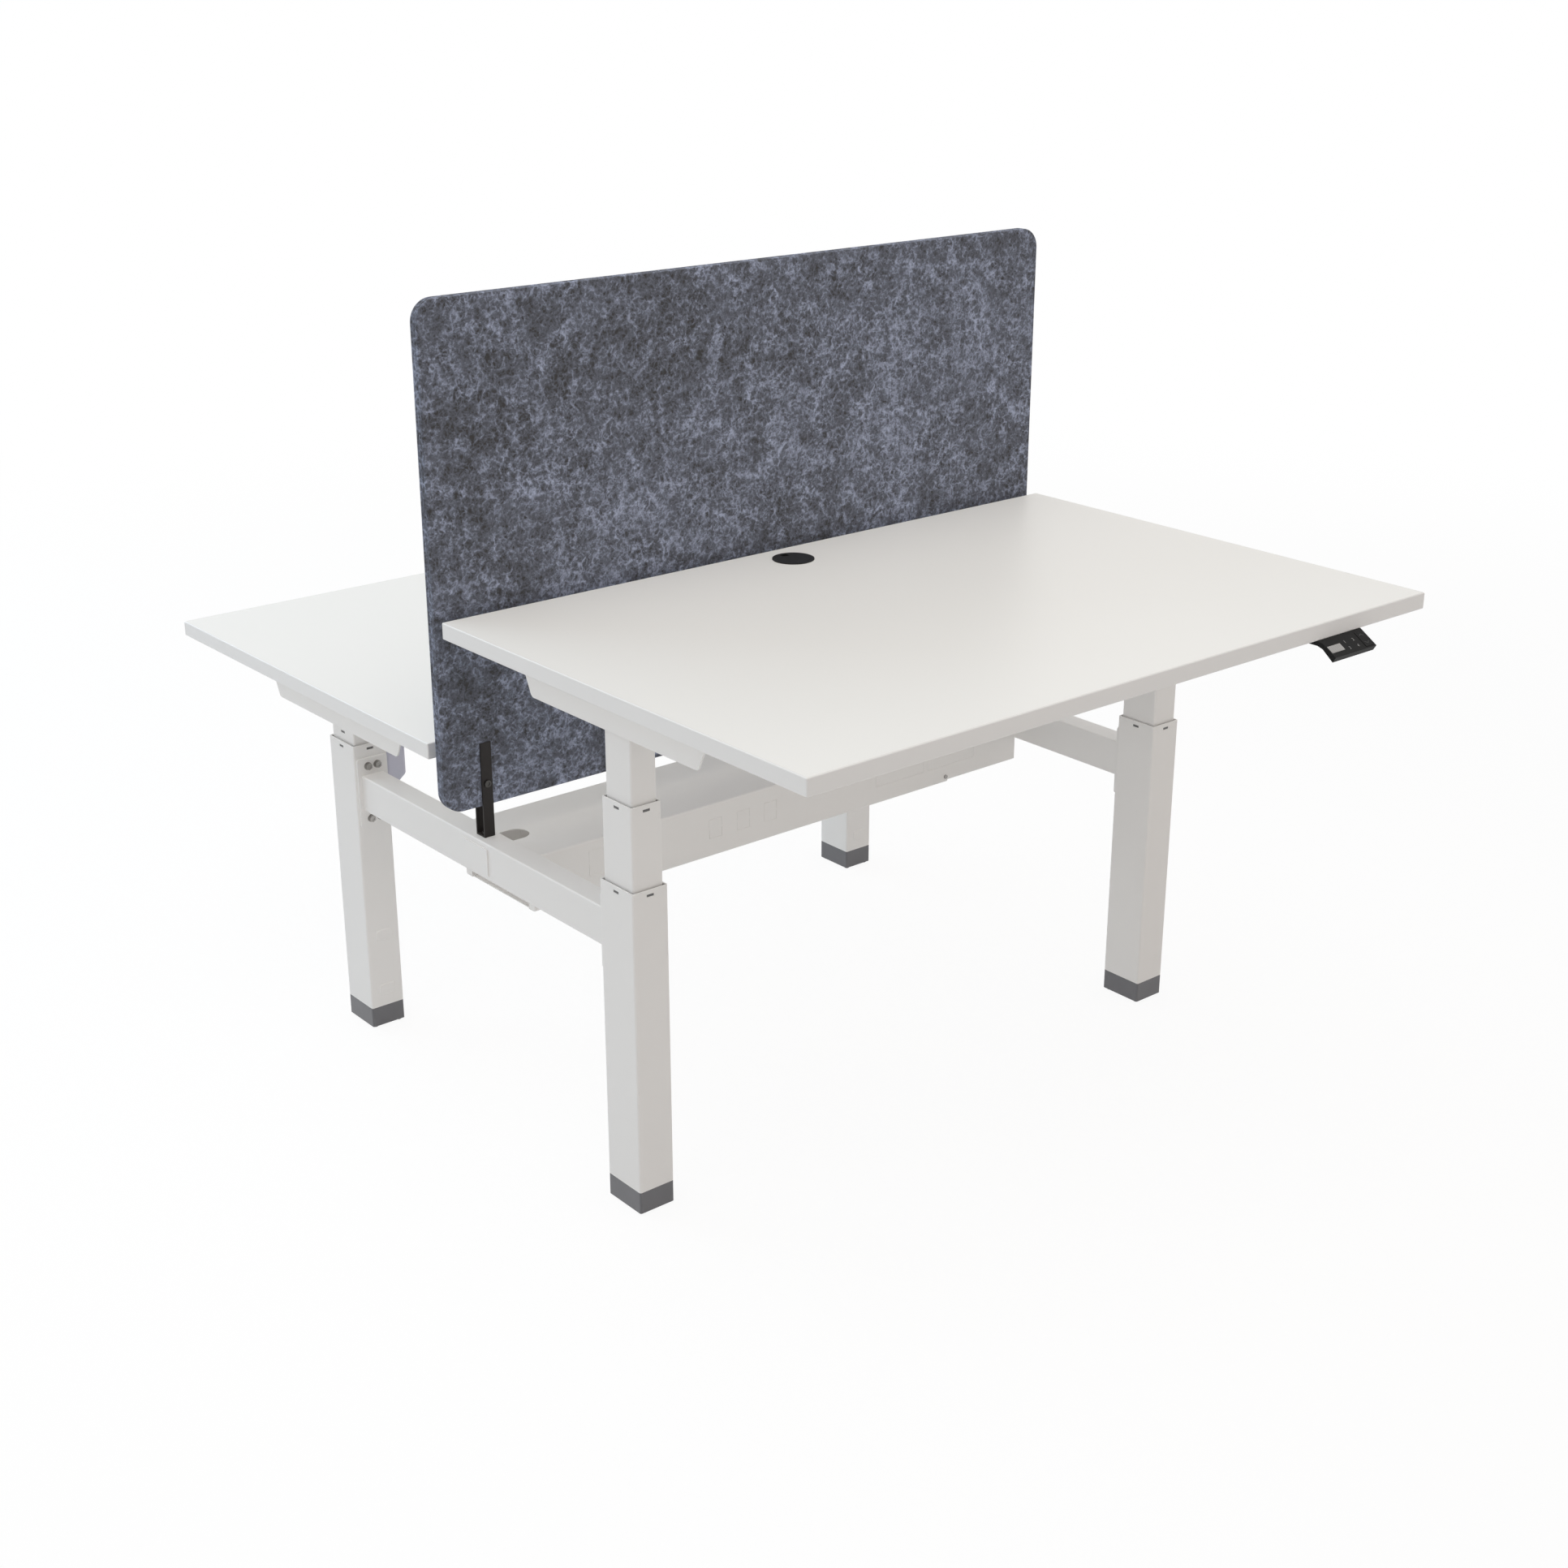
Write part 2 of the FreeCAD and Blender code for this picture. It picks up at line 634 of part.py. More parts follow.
def channel(width, tall, z_centre, x_span):
    """A closed sheet channel along X whose floor is open between two lips."""
    body = turned_to_x(tube(width, tall, TRAY_SHEET, TRAY_BEND, x_span))
    body = moved(body, 0, 0, z_centre)
    inside = width - 2 * TRAY_SHEET - 2 * TRAY_LIP
    base = z_centre - tall / 2
    return body.cut(block(x_span, middle(0, inside), (base, base + TRAY_SHEET)))


def end_lips(width, tall, z_centre, x_span):
    """Two upright lips that close the corners of a channel's end."""
    lips = []
    half = width / 2 - TRAY_SHEET
    z_span = middle(z_centre, tall - 2 * TRAY_SHEET)
    for sign in (-1, 1):
        lips.append(block(x_span, sorted((sign * half, sign * (half - TRAY_END_LIP))), z_span))
    return lips


def outlined_slits(x_centre, width, tall):
    """Thin cuts through both walls round a push-out blank, which a tab on each side holds."""
    base = TRAY_BASE + SLIT_BASE_RISE
    y_span = middle(0, TRAY_WIDTH)
    cuts = []
    for sign in (-1, 1):
        run = (width - SLIT_TAB) / 2
        rise = (tall - SLIT_TAB) / 2
        edge_x = middle(x_centre + sign * width / 2, SLIT)
        run_x = middle(x_centre + sign * (width - run) / 2, run)
        for level in (0, 1):
            edge_z = middle(base + level * tall, SLIT)
            start = base + level * (tall - rise)
            cuts.append(block(run_x, y_span, edge_z))
            cuts.append(block(edge_x, y_span, (start, start + rise)))
    return cuts


def socket_blank(x):
    return outlined_slits(x, SOCKET_WIDTH, SOCKET_HEIGHT)


def data_blanks():
    cuts = []
    for step in range(DATA_COUNT):
        cuts += outlined_slits(DATA_X + step * DATA_PITCH, DATA_WIDTH, DATA_HEIGHT)
    return cuts


def end_notch(sign_x):
    """A slot through the top sheet, open at the beam's end and round at the other."""
    tip = sign_x * (TRAY_END - NOTCH_LENGTH + NOTCH_WIDTH / 2)
    z_span = (TRAY_TOP - TRAY_HEIGHT / 2, TRAY_TOP + TRAY_SHEET)
    straight = block(sorted((tip, sign_x * TRAY_END)), middle(0, NOTCH_WIDTH), z_span)
    rounding = rod(NOTCH_WIDTH / 2, vec(tip, 0, z_span[0]), vec(tip, 0, z_span[1]))
    return joined([straight, rounding])


def cross_screw(start, step, head_radius, head, radius, reach):
    """A round-head screw: the head stands on a face, the shank goes the other way."""
    back = step * -head
    pieces = [rod(head_radius, start + back, start), rod(radius, start, start + step * reach)]
    return joined(pieces)


def build_cable_beam():
    centre = TRAY_TOP - TRAY_HEIGHT / 2
    inset = TRAY_SHEET + TRAY_SLIDE_GAP
    slim = TRAY_WIDTH - 2 * inset
    low = TRAY_HEIGHT - 2 * inset
    inner_start = TRAY_JOINT_X - TRAY_OVERLAP
    screw_x = TRAY_JOINT_X - JOINT_SCREW_INSET
    screw_z = TRAY_BASE + JOINT_SCREW_RISE
    hole = JOINT_SCREW_RADIUS + BOLT_HOLE_GAP
    half = TRAY_WIDTH / 2
    cross_hole = rod(hole, vec(screw_x, -half, screw_z), vec(screw_x, half, screw_z))

    left_end = (-TRAY_END, -TRAY_END + TRAY_SHEET)
    right_end = (TRAY_END - TRAY_SHEET, TRAY_END)
    outer = channel(TRAY_WIDTH, TRAY_HEIGHT, centre, (-TRAY_END, TRAY_JOINT_X))
    outer = joined([outer] + end_lips(TRAY_WIDTH, TRAY_HEIGHT, centre, left_end))
    inner = channel(slim, low, centre, (inner_start, TRAY_END))
    inner = joined([inner] + end_lips(slim, low, centre, right_end))

    screws = []
    end_holes = []
    for sign_x in (-1, 1):
        for sign_y in (-1, 1):
            step = vec(sign_x, 0, 0)
            start = vec(sign_x * (TRAY_END - TRAY_SHEET), sign_y * end_screw_y(), end_screw_z())
            reach = TRAY_SHEET + CROSS_WALL + SCREW_PAST
            end_holes.append(rod(BOLT_RADIUS + BOLT_HOLE_GAP, start, start + step * TRAY_SHEET))
            screws.append(cross_screw(start, step, END_SCREW_HEAD_RADIUS, END_SCREW_HEAD,
                                      BOLT_RADIUS, reach))
    for sign_y in (-1, 1):
        start = vec(screw_x, sign_y * half, screw_z)
        reach = TRAY_SHEET + inset + SCREW_PAST
        screws.append(cross_screw(start, vec(0, -sign_y, 0), JOINT_SCREW_HEAD_RADIUS,
                                  JOINT_SCREW_HEAD, JOINT_SCREW_RADIUS, reach))
    shared_cuts = end_holes + socket_blank(SOCKET_X) + [cross_hole]
    outer_cuts = socket_blank(-SOCKET_X) + socket_blank(SECOND_SOCKET_X) + data_blanks()
    keep("cable_beam_outer_section", outer.cut(shared_cuts + outer_cuts + [end_notch(-1)]))
    keep("cable_beam_inner_section", inner.cut(shared_cuts + [end_notch(1)]))
    keep("cable_beam_lids",
         lid(TRAY_WIDTH, TRAY_BASE, (LID_END_GAP - TRAY_END, inner_start - LID_END_GAP)),
         lid(slim, TRAY_BASE + inset, (inner_start, TRAY_END - LID_END_GAP)))
    keep("cable_beam_screws", *screws)


def lid(width, base, x_span):
    """A stepped sheet: its edges lie on a channel's two floor lips, its middle is flush with them."""
    floor = base + TRAY_SHEET
    edge = width / 2 - TRAY_BEND - LID_SIDE_GAP
    opening = width / 2 - TRAY_SHEET - TRAY_LIP - LID_SIDE_GAP
    pieces = [block(x_span, (-opening, opening), (base, floor))]
    for sign in (-1, 1):
        y_span = sorted((sign * edge, sign * (opening - TRAY_SHEET)))
        pieces.append(block(x_span, y_span, (floor, floor + TRAY_SHEET)))
    return joined(pieces)


def build_screen():
    bolt_z = CROSS_TOP + BRACKET_BOLT_RISE
    outside = SCREEN_THICK / 2 + BRACKET_SHEET
    base_top = CROSS_TOP + BRACKET_SHEET
    panel = turned_to_y(bar(SCREEN_HEIGHT, SCREEN_WIDTH, SCREEN_CORNER, middle(0, SCREEN_THICK)))
    panel = moved(panel, 0, 0, SCREEN_BASE + SCREEN_HEIGHT / 2)
    brackets = []
    screws = []
    for sign_x in (-1, 1):
        x = sign_x * COLUMN_X
        x_span = middle(x, BRACKET_WIDTH)
        hole = rod(BOLT_RADIUS + BOLT_HOLE_GAP, vec(x, -outside, bolt_z), vec(x, outside, bolt_z))
        base_hole = rod(BOLT_RADIUS + BOLT_HOLE_GAP, vec(x, 0, CROSS_TOP), vec(x, 0, base_top))
        plates = [block(x_span, (-outside, outside), (CROSS_TOP, base_top))]
        for sign in (-1, 1):
            y_span = sorted((sign * SCREEN_THICK / 2, sign * outside))
            plates.append(block(x_span, y_span, (CROSS_TOP, CROSS_TOP + BRACKET_HEIGHT)))
        brackets.append(joined(plates).cut([hole, base_hole]))
        panel = panel.cut(hole)
        through = [rod(BOLT_RADIUS, vec(x, -outside, bolt_z), vec(x, outside, bolt_z))]
        for sign in (-1, 1):
            ends = sorted((sign * outside, sign * (outside + BRACKET_HEAD)))
            head = rod(BRACKET_HEAD_RADIUS, vec(x, ends[0], bolt_z), vec(x, ends[1], bolt_z))
            socket_start = vec(x, sign * (outside + BRACKET_HEAD), bolt_z)
            socket_end = vec(x, sign * (outside + BRACKET_HEAD - BOLT_DIMPLE), bolt_z)
            through.append(head.cut(hex_rod(BOLT_RADIUS * 2, socket_start, socket_end)))
        screws.append(joined(through))
        reach = BRACKET_SHEET + CROSS_WALL + SCREW_PAST
        screws.append(cross_screw(vec(x, 0, base_top), vec(0, 0, -1), END_SCREW_HEAD_RADIUS,
                                  END_SCREW_HEAD, BOLT_RADIUS, reach))
    keep("felt_screen", panel)
    keep("screen_brackets", *brackets)
    keep("screen_screws", *screws)


def worktop():
    """The board with softened edges and a round hole for the grommet."""
    top = FRONT_HEIGHT
    body = block(middle(0, TOP_WIDTH), (-TOP_FRONT, -TOP_BACK), (top - TOP_THICK, top))
    body = body.makeFillet(TOP_EDGE_ROUND, body.Edges)
    y = -TOP_BACK - GROMMET_BACK_INSET
    holes = [rod(GROMMET_HOLE, vec(0, y, top - TOP_THICK), vec(0, y, top))]
    for sign_x in (-1, 1):
        for hole in rail_screw_holes(top - TOP_THICK):
            holes.append(set_on_column(hole, sign_x, -1))
    return body.cut(holes)


def side_rail(sign_x):
    """An inverted sheet channel with sloped ends, drilled for the cross shaft inside."""
    under = underside("front")
    base = under - RAIL_DEPTH
    slope = RAIL_DEPTH * math.tan(math.radians(RAIL_END_SLOPE))
    ends = [vec(0, -RAIL_FRONT, under), vec(0, RAIL_BACK, under)]
    ends += [vec(0, RAIL_BACK - slope, base), vec(0, slope - RAIL_FRONT, base)]
    outline = Part.Face(Part.makePolygon(ends + ends[:1]))
    body = outline.extrude(vec(RAIL_WIDTH, 0, 0))
    lower = [edge for edge in body.Edges if is_lower_end(edge, base)]
    body = body.makeFillet(RAIL_CORNER, lower)
    body.translate(vec(-RAIL_WIDTH / 2, 0, 0))
    inside = block(middle(0, RAIL_INSIDE), (-RAIL_FRONT, RAIL_BACK), (base, under - RAIL_SHEET))
    shaft = under - SHAFT_DROP
    hole = rod(SHAFT_HOLE_RADIUS, vec(0, 0, shaft), vec(-sign_x * RAIL_WIDTH, 0, shaft))
    body = body.cut([inside, hole] + rail_screw_holes(under))
    return set_on_column(body, sign_x, -1)


def is_lower_end(edge, base):
    """True for the two bottom edges of the rail that run across it."""
    ends = [vertex.Point for vertex in edge.Vertexes]
    across = abs(ends[0].x - ends[-1].x) > RAIL_SHEET
    return across and all(abs(end.z - base) < RAIL_SHEET for end in ends)


def gear_motor():
    """The motor housing on the inner flange of the right rail, bored for the cross shaft."""
    under = underside("front")
    base = under - MOTOR_HEIGHT
    outside = COLUMN_X - RAIL_WIDTH / 2
    inside = outside - MOTOR_WIDTH
    body = bar(MOTOR_WIDTH, MOTOR_DEPTH, MOTOR_CORNER, (base, under))
    body = moved(body, (outside + inside) / 2, -COLUMN_Y, 0)
    y_start = -COLUMN_Y - MOTOR_DEPTH / 2
    corner = [vec(inside, y_start, base), vec(inside + MOTOR_CHAMFER_X, y_start, base)]
    corner.append(vec(inside, y_start, base + MOTOR_CHAMFER_Z))
    wedge = Part.Face(Part.makePolygon(corner + corner[:1])).extrude(vec(0, MOTOR_DEPTH, 0))
    shaft = under - SHAFT_DROP
    bore = rod(SHAFT_BORE, vec(inside, -COLUMN_Y, shaft), vec(outside, -COLUMN_Y, shaft))
    return body.cut([wedge, bore])


def drive_shaft():
    """A hexagonal bar from one column head to the other, through the motor."""
    z = underside("front") - SHAFT_DROP
    end = COLUMN_X + SHAFT_PAST_AXIS
    return hex_rod(SHAFT_FLATS, vec(-end, -COLUMN_Y, z), vec(end, -COLUMN_Y, z))


def control_box():
    """The electronics box under the top, with a mains inlet and a row of sockets."""
    under = underside("front")
    y = -TOP_BACK - BOX_BACK_INSET - BOX_DEPTH / 2
    body = bar(BOX_WIDTH, BOX_DEPTH, BOX_CORNER, (under - BOX_HEIGHT, under))
    body = moved(body, 0, y, 0)
    face = y + BOX_DEPTH / 2
    z = under - BOX_HEIGHT / 2
    y_span = (face - INLET_DEEP, face)
    pockets = [block(middle(INLET_X, INLET_WIDTH), y_span, middle(z, INLET_HEIGHT))]
    for step in range(PORT_COUNT):
        x = PORT_X + step * PORT_PITCH
        pockets.append(block(middle(x, PORT_WIDTH), y_span, middle(z, PORT_HEIGHT)))
    return body.cut(pockets)


def on_handset(shape, x, slope):
    """Place a piece drawn about the origin on the handset's sloped face."""
    shape.translate(vec(0, -slope, 0))
    shape.rotate(ORIGIN, AXIS_X, HANDSET_TILT)
    shape.translate(vec(x, -TOP_FRONT, underside("front")))
    return shape


def rocker_x():
    return HANDSET_X + HANDSET_WIDTH / 2 - ROCKER_EDGE


def rocker_pin(radius, length):
    """A pin along X at the middle of the rocker."""
    depth = ROCKER_PROUD - ROCKER_THICK / 2
    half = ROCKER_WIDTH / 2 + length
    return rod(radius, vec(-half, 0, depth), vec(half, 0, depth))


def handset():
    """A wedge under the front edge whose sloped face leans towards the user."""
    tilt = math.radians(HANDSET_TILT)
    under = underside("front")
    drop = HANDSET_REACH * math.tan(tilt)
    lip_y = HANDSET_REACH - HANDSET_LIP * math.sin(tilt)
    lip_z = drop + HANDSET_LIP * math.cos(tilt)
    section = [(-HANDSET_BACK, 0), (0, 0), (HANDSET_REACH, drop), (lip_y, lip_z)]
    section += [(0, HANDSET_BODY), (-HANDSET_BACK, HANDSET_BODY)]
    left = HANDSET_X - HANDSET_WIDTH / 2
    right = HANDSET_X + HANDSET_WIDTH / 2
    start = left - HANDSET_SHOULDER
    side = [vec(start, -TOP_FRONT - out, under - down) for out, down in section]
    body = Part.Face(Part.makePolygon(side + side[:1])).extrude(vec(right - start, 0, 0))
    plan = [(start, -HANDSET_BACK), (start, 0), (left, HANDSET_SHOULDER_REACH), (left, HANDSET_REACH)]
    plan += [(right, HANDSET_REACH), (right, -HANDSET_BACK)]
    base = under - lip_z - HANDSET_BODY
    points = [vec(x, -TOP_FRONT - out, base) for x, out in plan]
    cutter = Part.Face(Part.makePolygon(points + points[:1])).extrude(vec(0, 0, under - base))
    body = body.common(cutter)
    pocket_x = ROCKER_WIDTH + 2 * ROCKER_GAP
    pocket_y = ROCKER_LENGTH + 2 * ROCKER_GAP
    pocket = block(middle(0, pocket_x), middle(0, pocket_y), (-ROCKER_DEEP, ROCKER_PROUD))
    pin_reach = ROCKER_PIN_LENGTH + ROCKER_GAP
    bore = rocker_pin(ROCKER_PIN_RADIUS + ROCKER_PIN_GAP, pin_reach)
    window = block(middle(0, WINDOW_LONG), middle(0, WINDOW_TALL), (-WINDOW_DEEP, WINDOW_DEEP))
    body = body.cut(on_handset(joined([pocket, bore]), rocker_x(), ROCKER_SLOPE))
    return body.cut(on_handset(window, HANDSET_X + WINDOW_X, WINDOW_SLOPE))


def rocker_key():
    """The up/down key: a plate on a pin across its middle."""
    z_span = (ROCKER_PROUD - ROCKER_THICK, ROCKER_PROUD)
    plate = block(middle(0, ROCKER_WIDTH), middle(0, ROCKER_LENGTH), z_span)
    pin = rocker_pin(ROCKER_PIN_RADIUS, ROCKER_PIN_LENGTH)
    return on_handset(joined([plate, pin]), rocker_x(), ROCKER_SLOPE)


def grommet_bore():
    return GROMMET_HOLE - GROMMET_FIT - GROMMET_WALL


def grommet_ring():
    """A flanged sleeve in the board with a ledge that carries the cap."""
    y = -TOP_BACK - GROMMET_BACK_INSET
    top = FRONT_HEIGHT + GROMMET_FLANGE_THICK
    base = FRONT_HEIGHT - GROMMET_LENGTH
    cap_seat = top - GROMMET_CAP_THICK
    flange = rod(GROMMET_FLANGE, vec(0, y, FRONT_HEIGHT), vec(0, y, top))
    sleeve = rod(GROMMET_HOLE - GROMMET_FIT, vec(0, y, base), vec(0, y, FRONT_HEIGHT))
    bore = rod(grommet_bore(), vec(0, y, cap_seat), vec(0, y, top))
    throat = rod(grommet_bore() - GROMMET_LEDGE, vec(0, y, base), vec(0, y, cap_seat))
    return joined([flange, sleeve]).cut([bore, throat])


def grommet_cap():
    """A flat cap that turns in the ring, with a notch for cables."""
    y = -TOP_BACK - GROMMET_BACK_INSET
    top = FRONT_HEIGHT + GROMMET_FLANGE_THICK
    base = top - GROMMET_CAP_THICK
    radius = grommet_bore() - GROMMET_CAP_GAP
    cap = rod(radius, vec(0, y, base), vec(0, y, top))
    y_span = (y + radius - GROMMET_NOTCH_DEEP, y + radius)
    return cap.cut(block(middle(0, GROMMET_NOTCH_WIDTH), y_span, (base, top)))


def build_desks():
    for desk in ("front", "rear"):
        sides = {"left": -1, "right": 1}
        for side, sign_x in sides.items():
            drawn = sign_x if desk == "front" else -sign_x
            keep(desk + "_" + side + "_side_rail", set_at_desk(side_rail(drawn), desk))
        pieces = {
            "top_board": worktop(),
            "gear_motor": gear_motor(),
            "drive_shaft": drive_shaft(),
            "rail_screws": rail_screws(),
            "control_box": control_box(),
            "handset": handset(),
            "rocker_key": rocker_key(),
            "grommet_ring": grommet_ring(),
            "grommet_cap": grommet_cap(),
        }
        for piece, shape in pieces.items():
            keep(desk + "_" + piece, set_at_desk(shape, desk))


def main():
    build_columns()
    build_cross_beams()
    build_cable_beam()
    build_screen()
    build_desks()
    os.makedirs("parts", exist_ok=True)
    for name, shape in NODES.items():
        shape.exportStep(os.path.join("parts", name + ".step"))
    print(len(NODES), "nodes")


main()
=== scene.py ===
"""Looks for a back-to-back pair of sit-stand desks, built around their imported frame."""

import math

import bmesh
import bpy
import numpy as np
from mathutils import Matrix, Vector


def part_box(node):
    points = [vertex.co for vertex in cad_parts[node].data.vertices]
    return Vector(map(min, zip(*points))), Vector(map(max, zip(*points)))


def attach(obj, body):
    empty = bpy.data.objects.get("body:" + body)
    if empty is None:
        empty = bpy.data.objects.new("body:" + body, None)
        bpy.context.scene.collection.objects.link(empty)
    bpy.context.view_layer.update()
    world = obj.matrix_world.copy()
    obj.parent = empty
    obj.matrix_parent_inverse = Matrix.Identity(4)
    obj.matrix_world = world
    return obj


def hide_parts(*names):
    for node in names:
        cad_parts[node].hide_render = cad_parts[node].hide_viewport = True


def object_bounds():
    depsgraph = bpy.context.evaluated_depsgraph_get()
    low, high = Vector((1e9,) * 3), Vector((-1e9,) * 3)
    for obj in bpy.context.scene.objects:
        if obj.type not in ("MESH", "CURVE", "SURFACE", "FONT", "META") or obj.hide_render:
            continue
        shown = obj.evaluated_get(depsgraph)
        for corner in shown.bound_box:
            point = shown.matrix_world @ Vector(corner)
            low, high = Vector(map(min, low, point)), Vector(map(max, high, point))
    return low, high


bl_info = {
    "name": "Back-to-back sit-stand desks",
    "version": (1, 0, 0),
    "blender": (4, 5, 0),
    "location": "View3D > Sidebar > Desks",
    "description": "Dresses the packed frame of two sit-stand desks that share a felt screen",
    "category": "Object",
}

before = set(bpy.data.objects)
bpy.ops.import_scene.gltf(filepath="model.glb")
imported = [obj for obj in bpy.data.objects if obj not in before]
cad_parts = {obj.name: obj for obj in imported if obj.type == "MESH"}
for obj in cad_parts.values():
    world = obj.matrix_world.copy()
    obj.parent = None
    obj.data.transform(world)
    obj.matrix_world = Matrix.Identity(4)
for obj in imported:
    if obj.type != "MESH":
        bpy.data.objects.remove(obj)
cad_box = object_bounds()

DESKS = ("front", "rear")
SIDES = ("left", "right")
COLUMNS = [desk + "_" + side for desk in DESKS for side in SIDES]
SMOOTH_UNDER = math.radians(40.0)
WHITE = (1.0, 1.0, 1.0)

# Laminate: the joint line's strength and shade, and the roughness of edging and face
JOINT_STRENGTH = 0.55
JOINT_SHADE = 0.55
EDGING_ROUGH = 0.34
FACE_ROUGHER = 0.08

# Felt: its strands and curls in waves per metre, and the weight of each pattern in its tone; the pits'
# weight darkens the tone as painted shade
FELT_DIRECTIONS = 5
FELT_FIRST_TURN = 0.3
FELT_STRANDS = 130.0
FELT_STRAND_STEP = 25.0
FELT_STRAND_STRETCH = (1.0, 1.0, 3.0)
FELT_CURLS = (41.0, 62.0, 93.0)
FELT_WEIGHTS = {
    "drift": 0.5, "blotch": 0.4, "patch": 0.70, "fibre": 1.25, "web": 0.40, "fuzz": 0.40, "pit_shade": 0.30,
}
FELT_FIBRE_MIDDLE = 0.64
FELT_LEVEL = 0.245
FELT_MIDDLE_STOP = 0.42
FELT_RELIEF = 0.4

# Felt screen: its layers and the grid of its mesh
FELT_LAYERS = 3
FELT_LAYER_STEPS = 15
FELT_SEAM_POWER = 0.4
FELT_CORNER_STEPS = 14
FELT_ROWS = 40

# Column pads: height above the floor, shift off the column's middle, bevel and grid
PAD_LEVELS = (0.067, 0.1655)
PAD_SHIFT = 0.001
PAD_BEVEL = 0.0014
PAD_BEVEL_STEPS = 6
PAD_CORNER_STEPS = 6
PAD_ROWS = 8

# Handset: X is across the top, a slope is the way down the handset's face from the top's underside
HANDSET_TILT = math.radians(32.0)
PANE_X = 0.3708
PANE_SLOPE = 0.020
PANE_CORNER = 0.0006
PANE_BEVEL = 0.0003
PANE_BASE_BELOW_FACE = 0.0008
PANE_WALL_BELOW_FACE = 0.0003
PANE_TOP_BELOW_FACE = 0.0001
PANE_CORNER_STEPS = 4
PANE_ROWS = 6
DISPLAY_CELL = 0.0021
DISPLAY_BAR_START = 0.0012
DISPLAY_BAR_FULL = 0.0017
NUMERAL_COUNT = 4
NUMERAL_COLUMNS = 2
NUMERAL_X = 0.3962
NUMERAL_X_PITCH = 0.0190
NUMERAL_SLOPE = 0.0144
NUMERAL_SLOPE_PITCH = 0.0120
NUMERAL_HALF_THICK = 0.00006
NUMERAL_CURVE_STEPS = 3
FONT_SIZE_PER_HEIGHT = 1.4
MARK_X = 0.4360
MARK_SLOPES = {1: 0.0115, -1: 0.0255}
MARK_STEEPNESS = 0.4
MARK_WIDTH = 0.0011
MARK_RISE = 0.00025
MARK_PALER = 1.6
KEY_PROUD = 0.0006
RIBBON_ACROSS = (-0.5, -0.3, 0.3, 0.5)
RIBBON_LIFT = (0.0, 1.0, 1.0, 0.0)

# Fasteners: how much darker the screen's own screws are plated
DARK_ZINC = 0.23

# Stage: floor and sky, then the lamps, whose powers are settings
FLOOR_REACH = 80.0
FLOOR_LINES = 17
SHADOW_FULL_WITHIN = 1.6
SHADOW_GONE_BEYOND = 5.0
FLOOR_WHITE_SHARE = 0.90
SKY_LEAN = 0.4
SKY_BLEND = 0.9
HORIZON_POWER = 4.0
SENSOR_WIDTH = 36.0
LAMPS = {
    "overhead": {
        "spot": (-0.3, -0.6, 4.4), "size": (4.0, 4.0), "colour": (1.0, 0.97, 0.94), "shadow": False,
    },
    "left": {
        "spot": (-3.6, -0.5, 2.5), "size": (3.0, 2.4), "colour": (0.96, 0.98, 1.0), "shadow": True,
    },
    "front": {
        "spot": (2.2, -4.0, 1.0), "size": (3.0, 1.6), "colour": (1.0, 0.90, 0.82), "shadow": True,
    },
    "rear": {
        "spot": (-1.6, 4.2, 2.8), "size": (4.0, 3.0), "colour": (0.68, 0.85, 1.0), "shadow": True,
    },
}


def length_value(name, text, default):
    return bpy.props.FloatProperty(name=name, description=text, default=default, unit="LENGTH", precision=5)


def colour_value(name, text, default):
    return bpy.props.FloatVectorProperty(
        name=name, description=text, default=default, subtype="COLOR", size=3, min=0.0, max=1.0
    )


def level_value(name, text, default):
    return bpy.props.FloatProperty(name=name, description=text, default=default, min=0.0)


class DeskSizes(bpy.types.PropertyGroup):
    """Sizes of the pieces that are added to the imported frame."""

    felt_seam_depth: length_value("Felt seam depth", "How deep the seams between felt layers are", 0.0012)
    felt_corner: length_value("Felt corner", "Corner radius of the felt screen", 0.033)
    edging: length_value("Edging", "Thickness of the plastic edging of the tops", 0.002)
    edging_line: length_value("Edging line", "Width of the joint line beside the edging", 0.0005)
    pad_width: length_value("Pad width", "Width of the blank pads on the columns", 0.0290)
    pad_tall: length_value("Pad height", "Height of the blank pads on the columns", 0.0193)
    pad_corner: length_value("Pad corner", "Corner radius of the blank pads", 0.0055)
    pad_rise: length_value("Pad rise", "How far the pads stand off the column", 0.0010)
    display_wide: length_value("Display width", "Width of the display pane", 0.0293)
    display_tall: length_value("Display height", "Height of the display pane", 0.0130)
    legend: length_value("Key numeral", "Height of the numerals beside the display", 0.0052)
    chevron: length_value("Chevron arm", "Half the width of the marks on the rocker key", 0.0048)


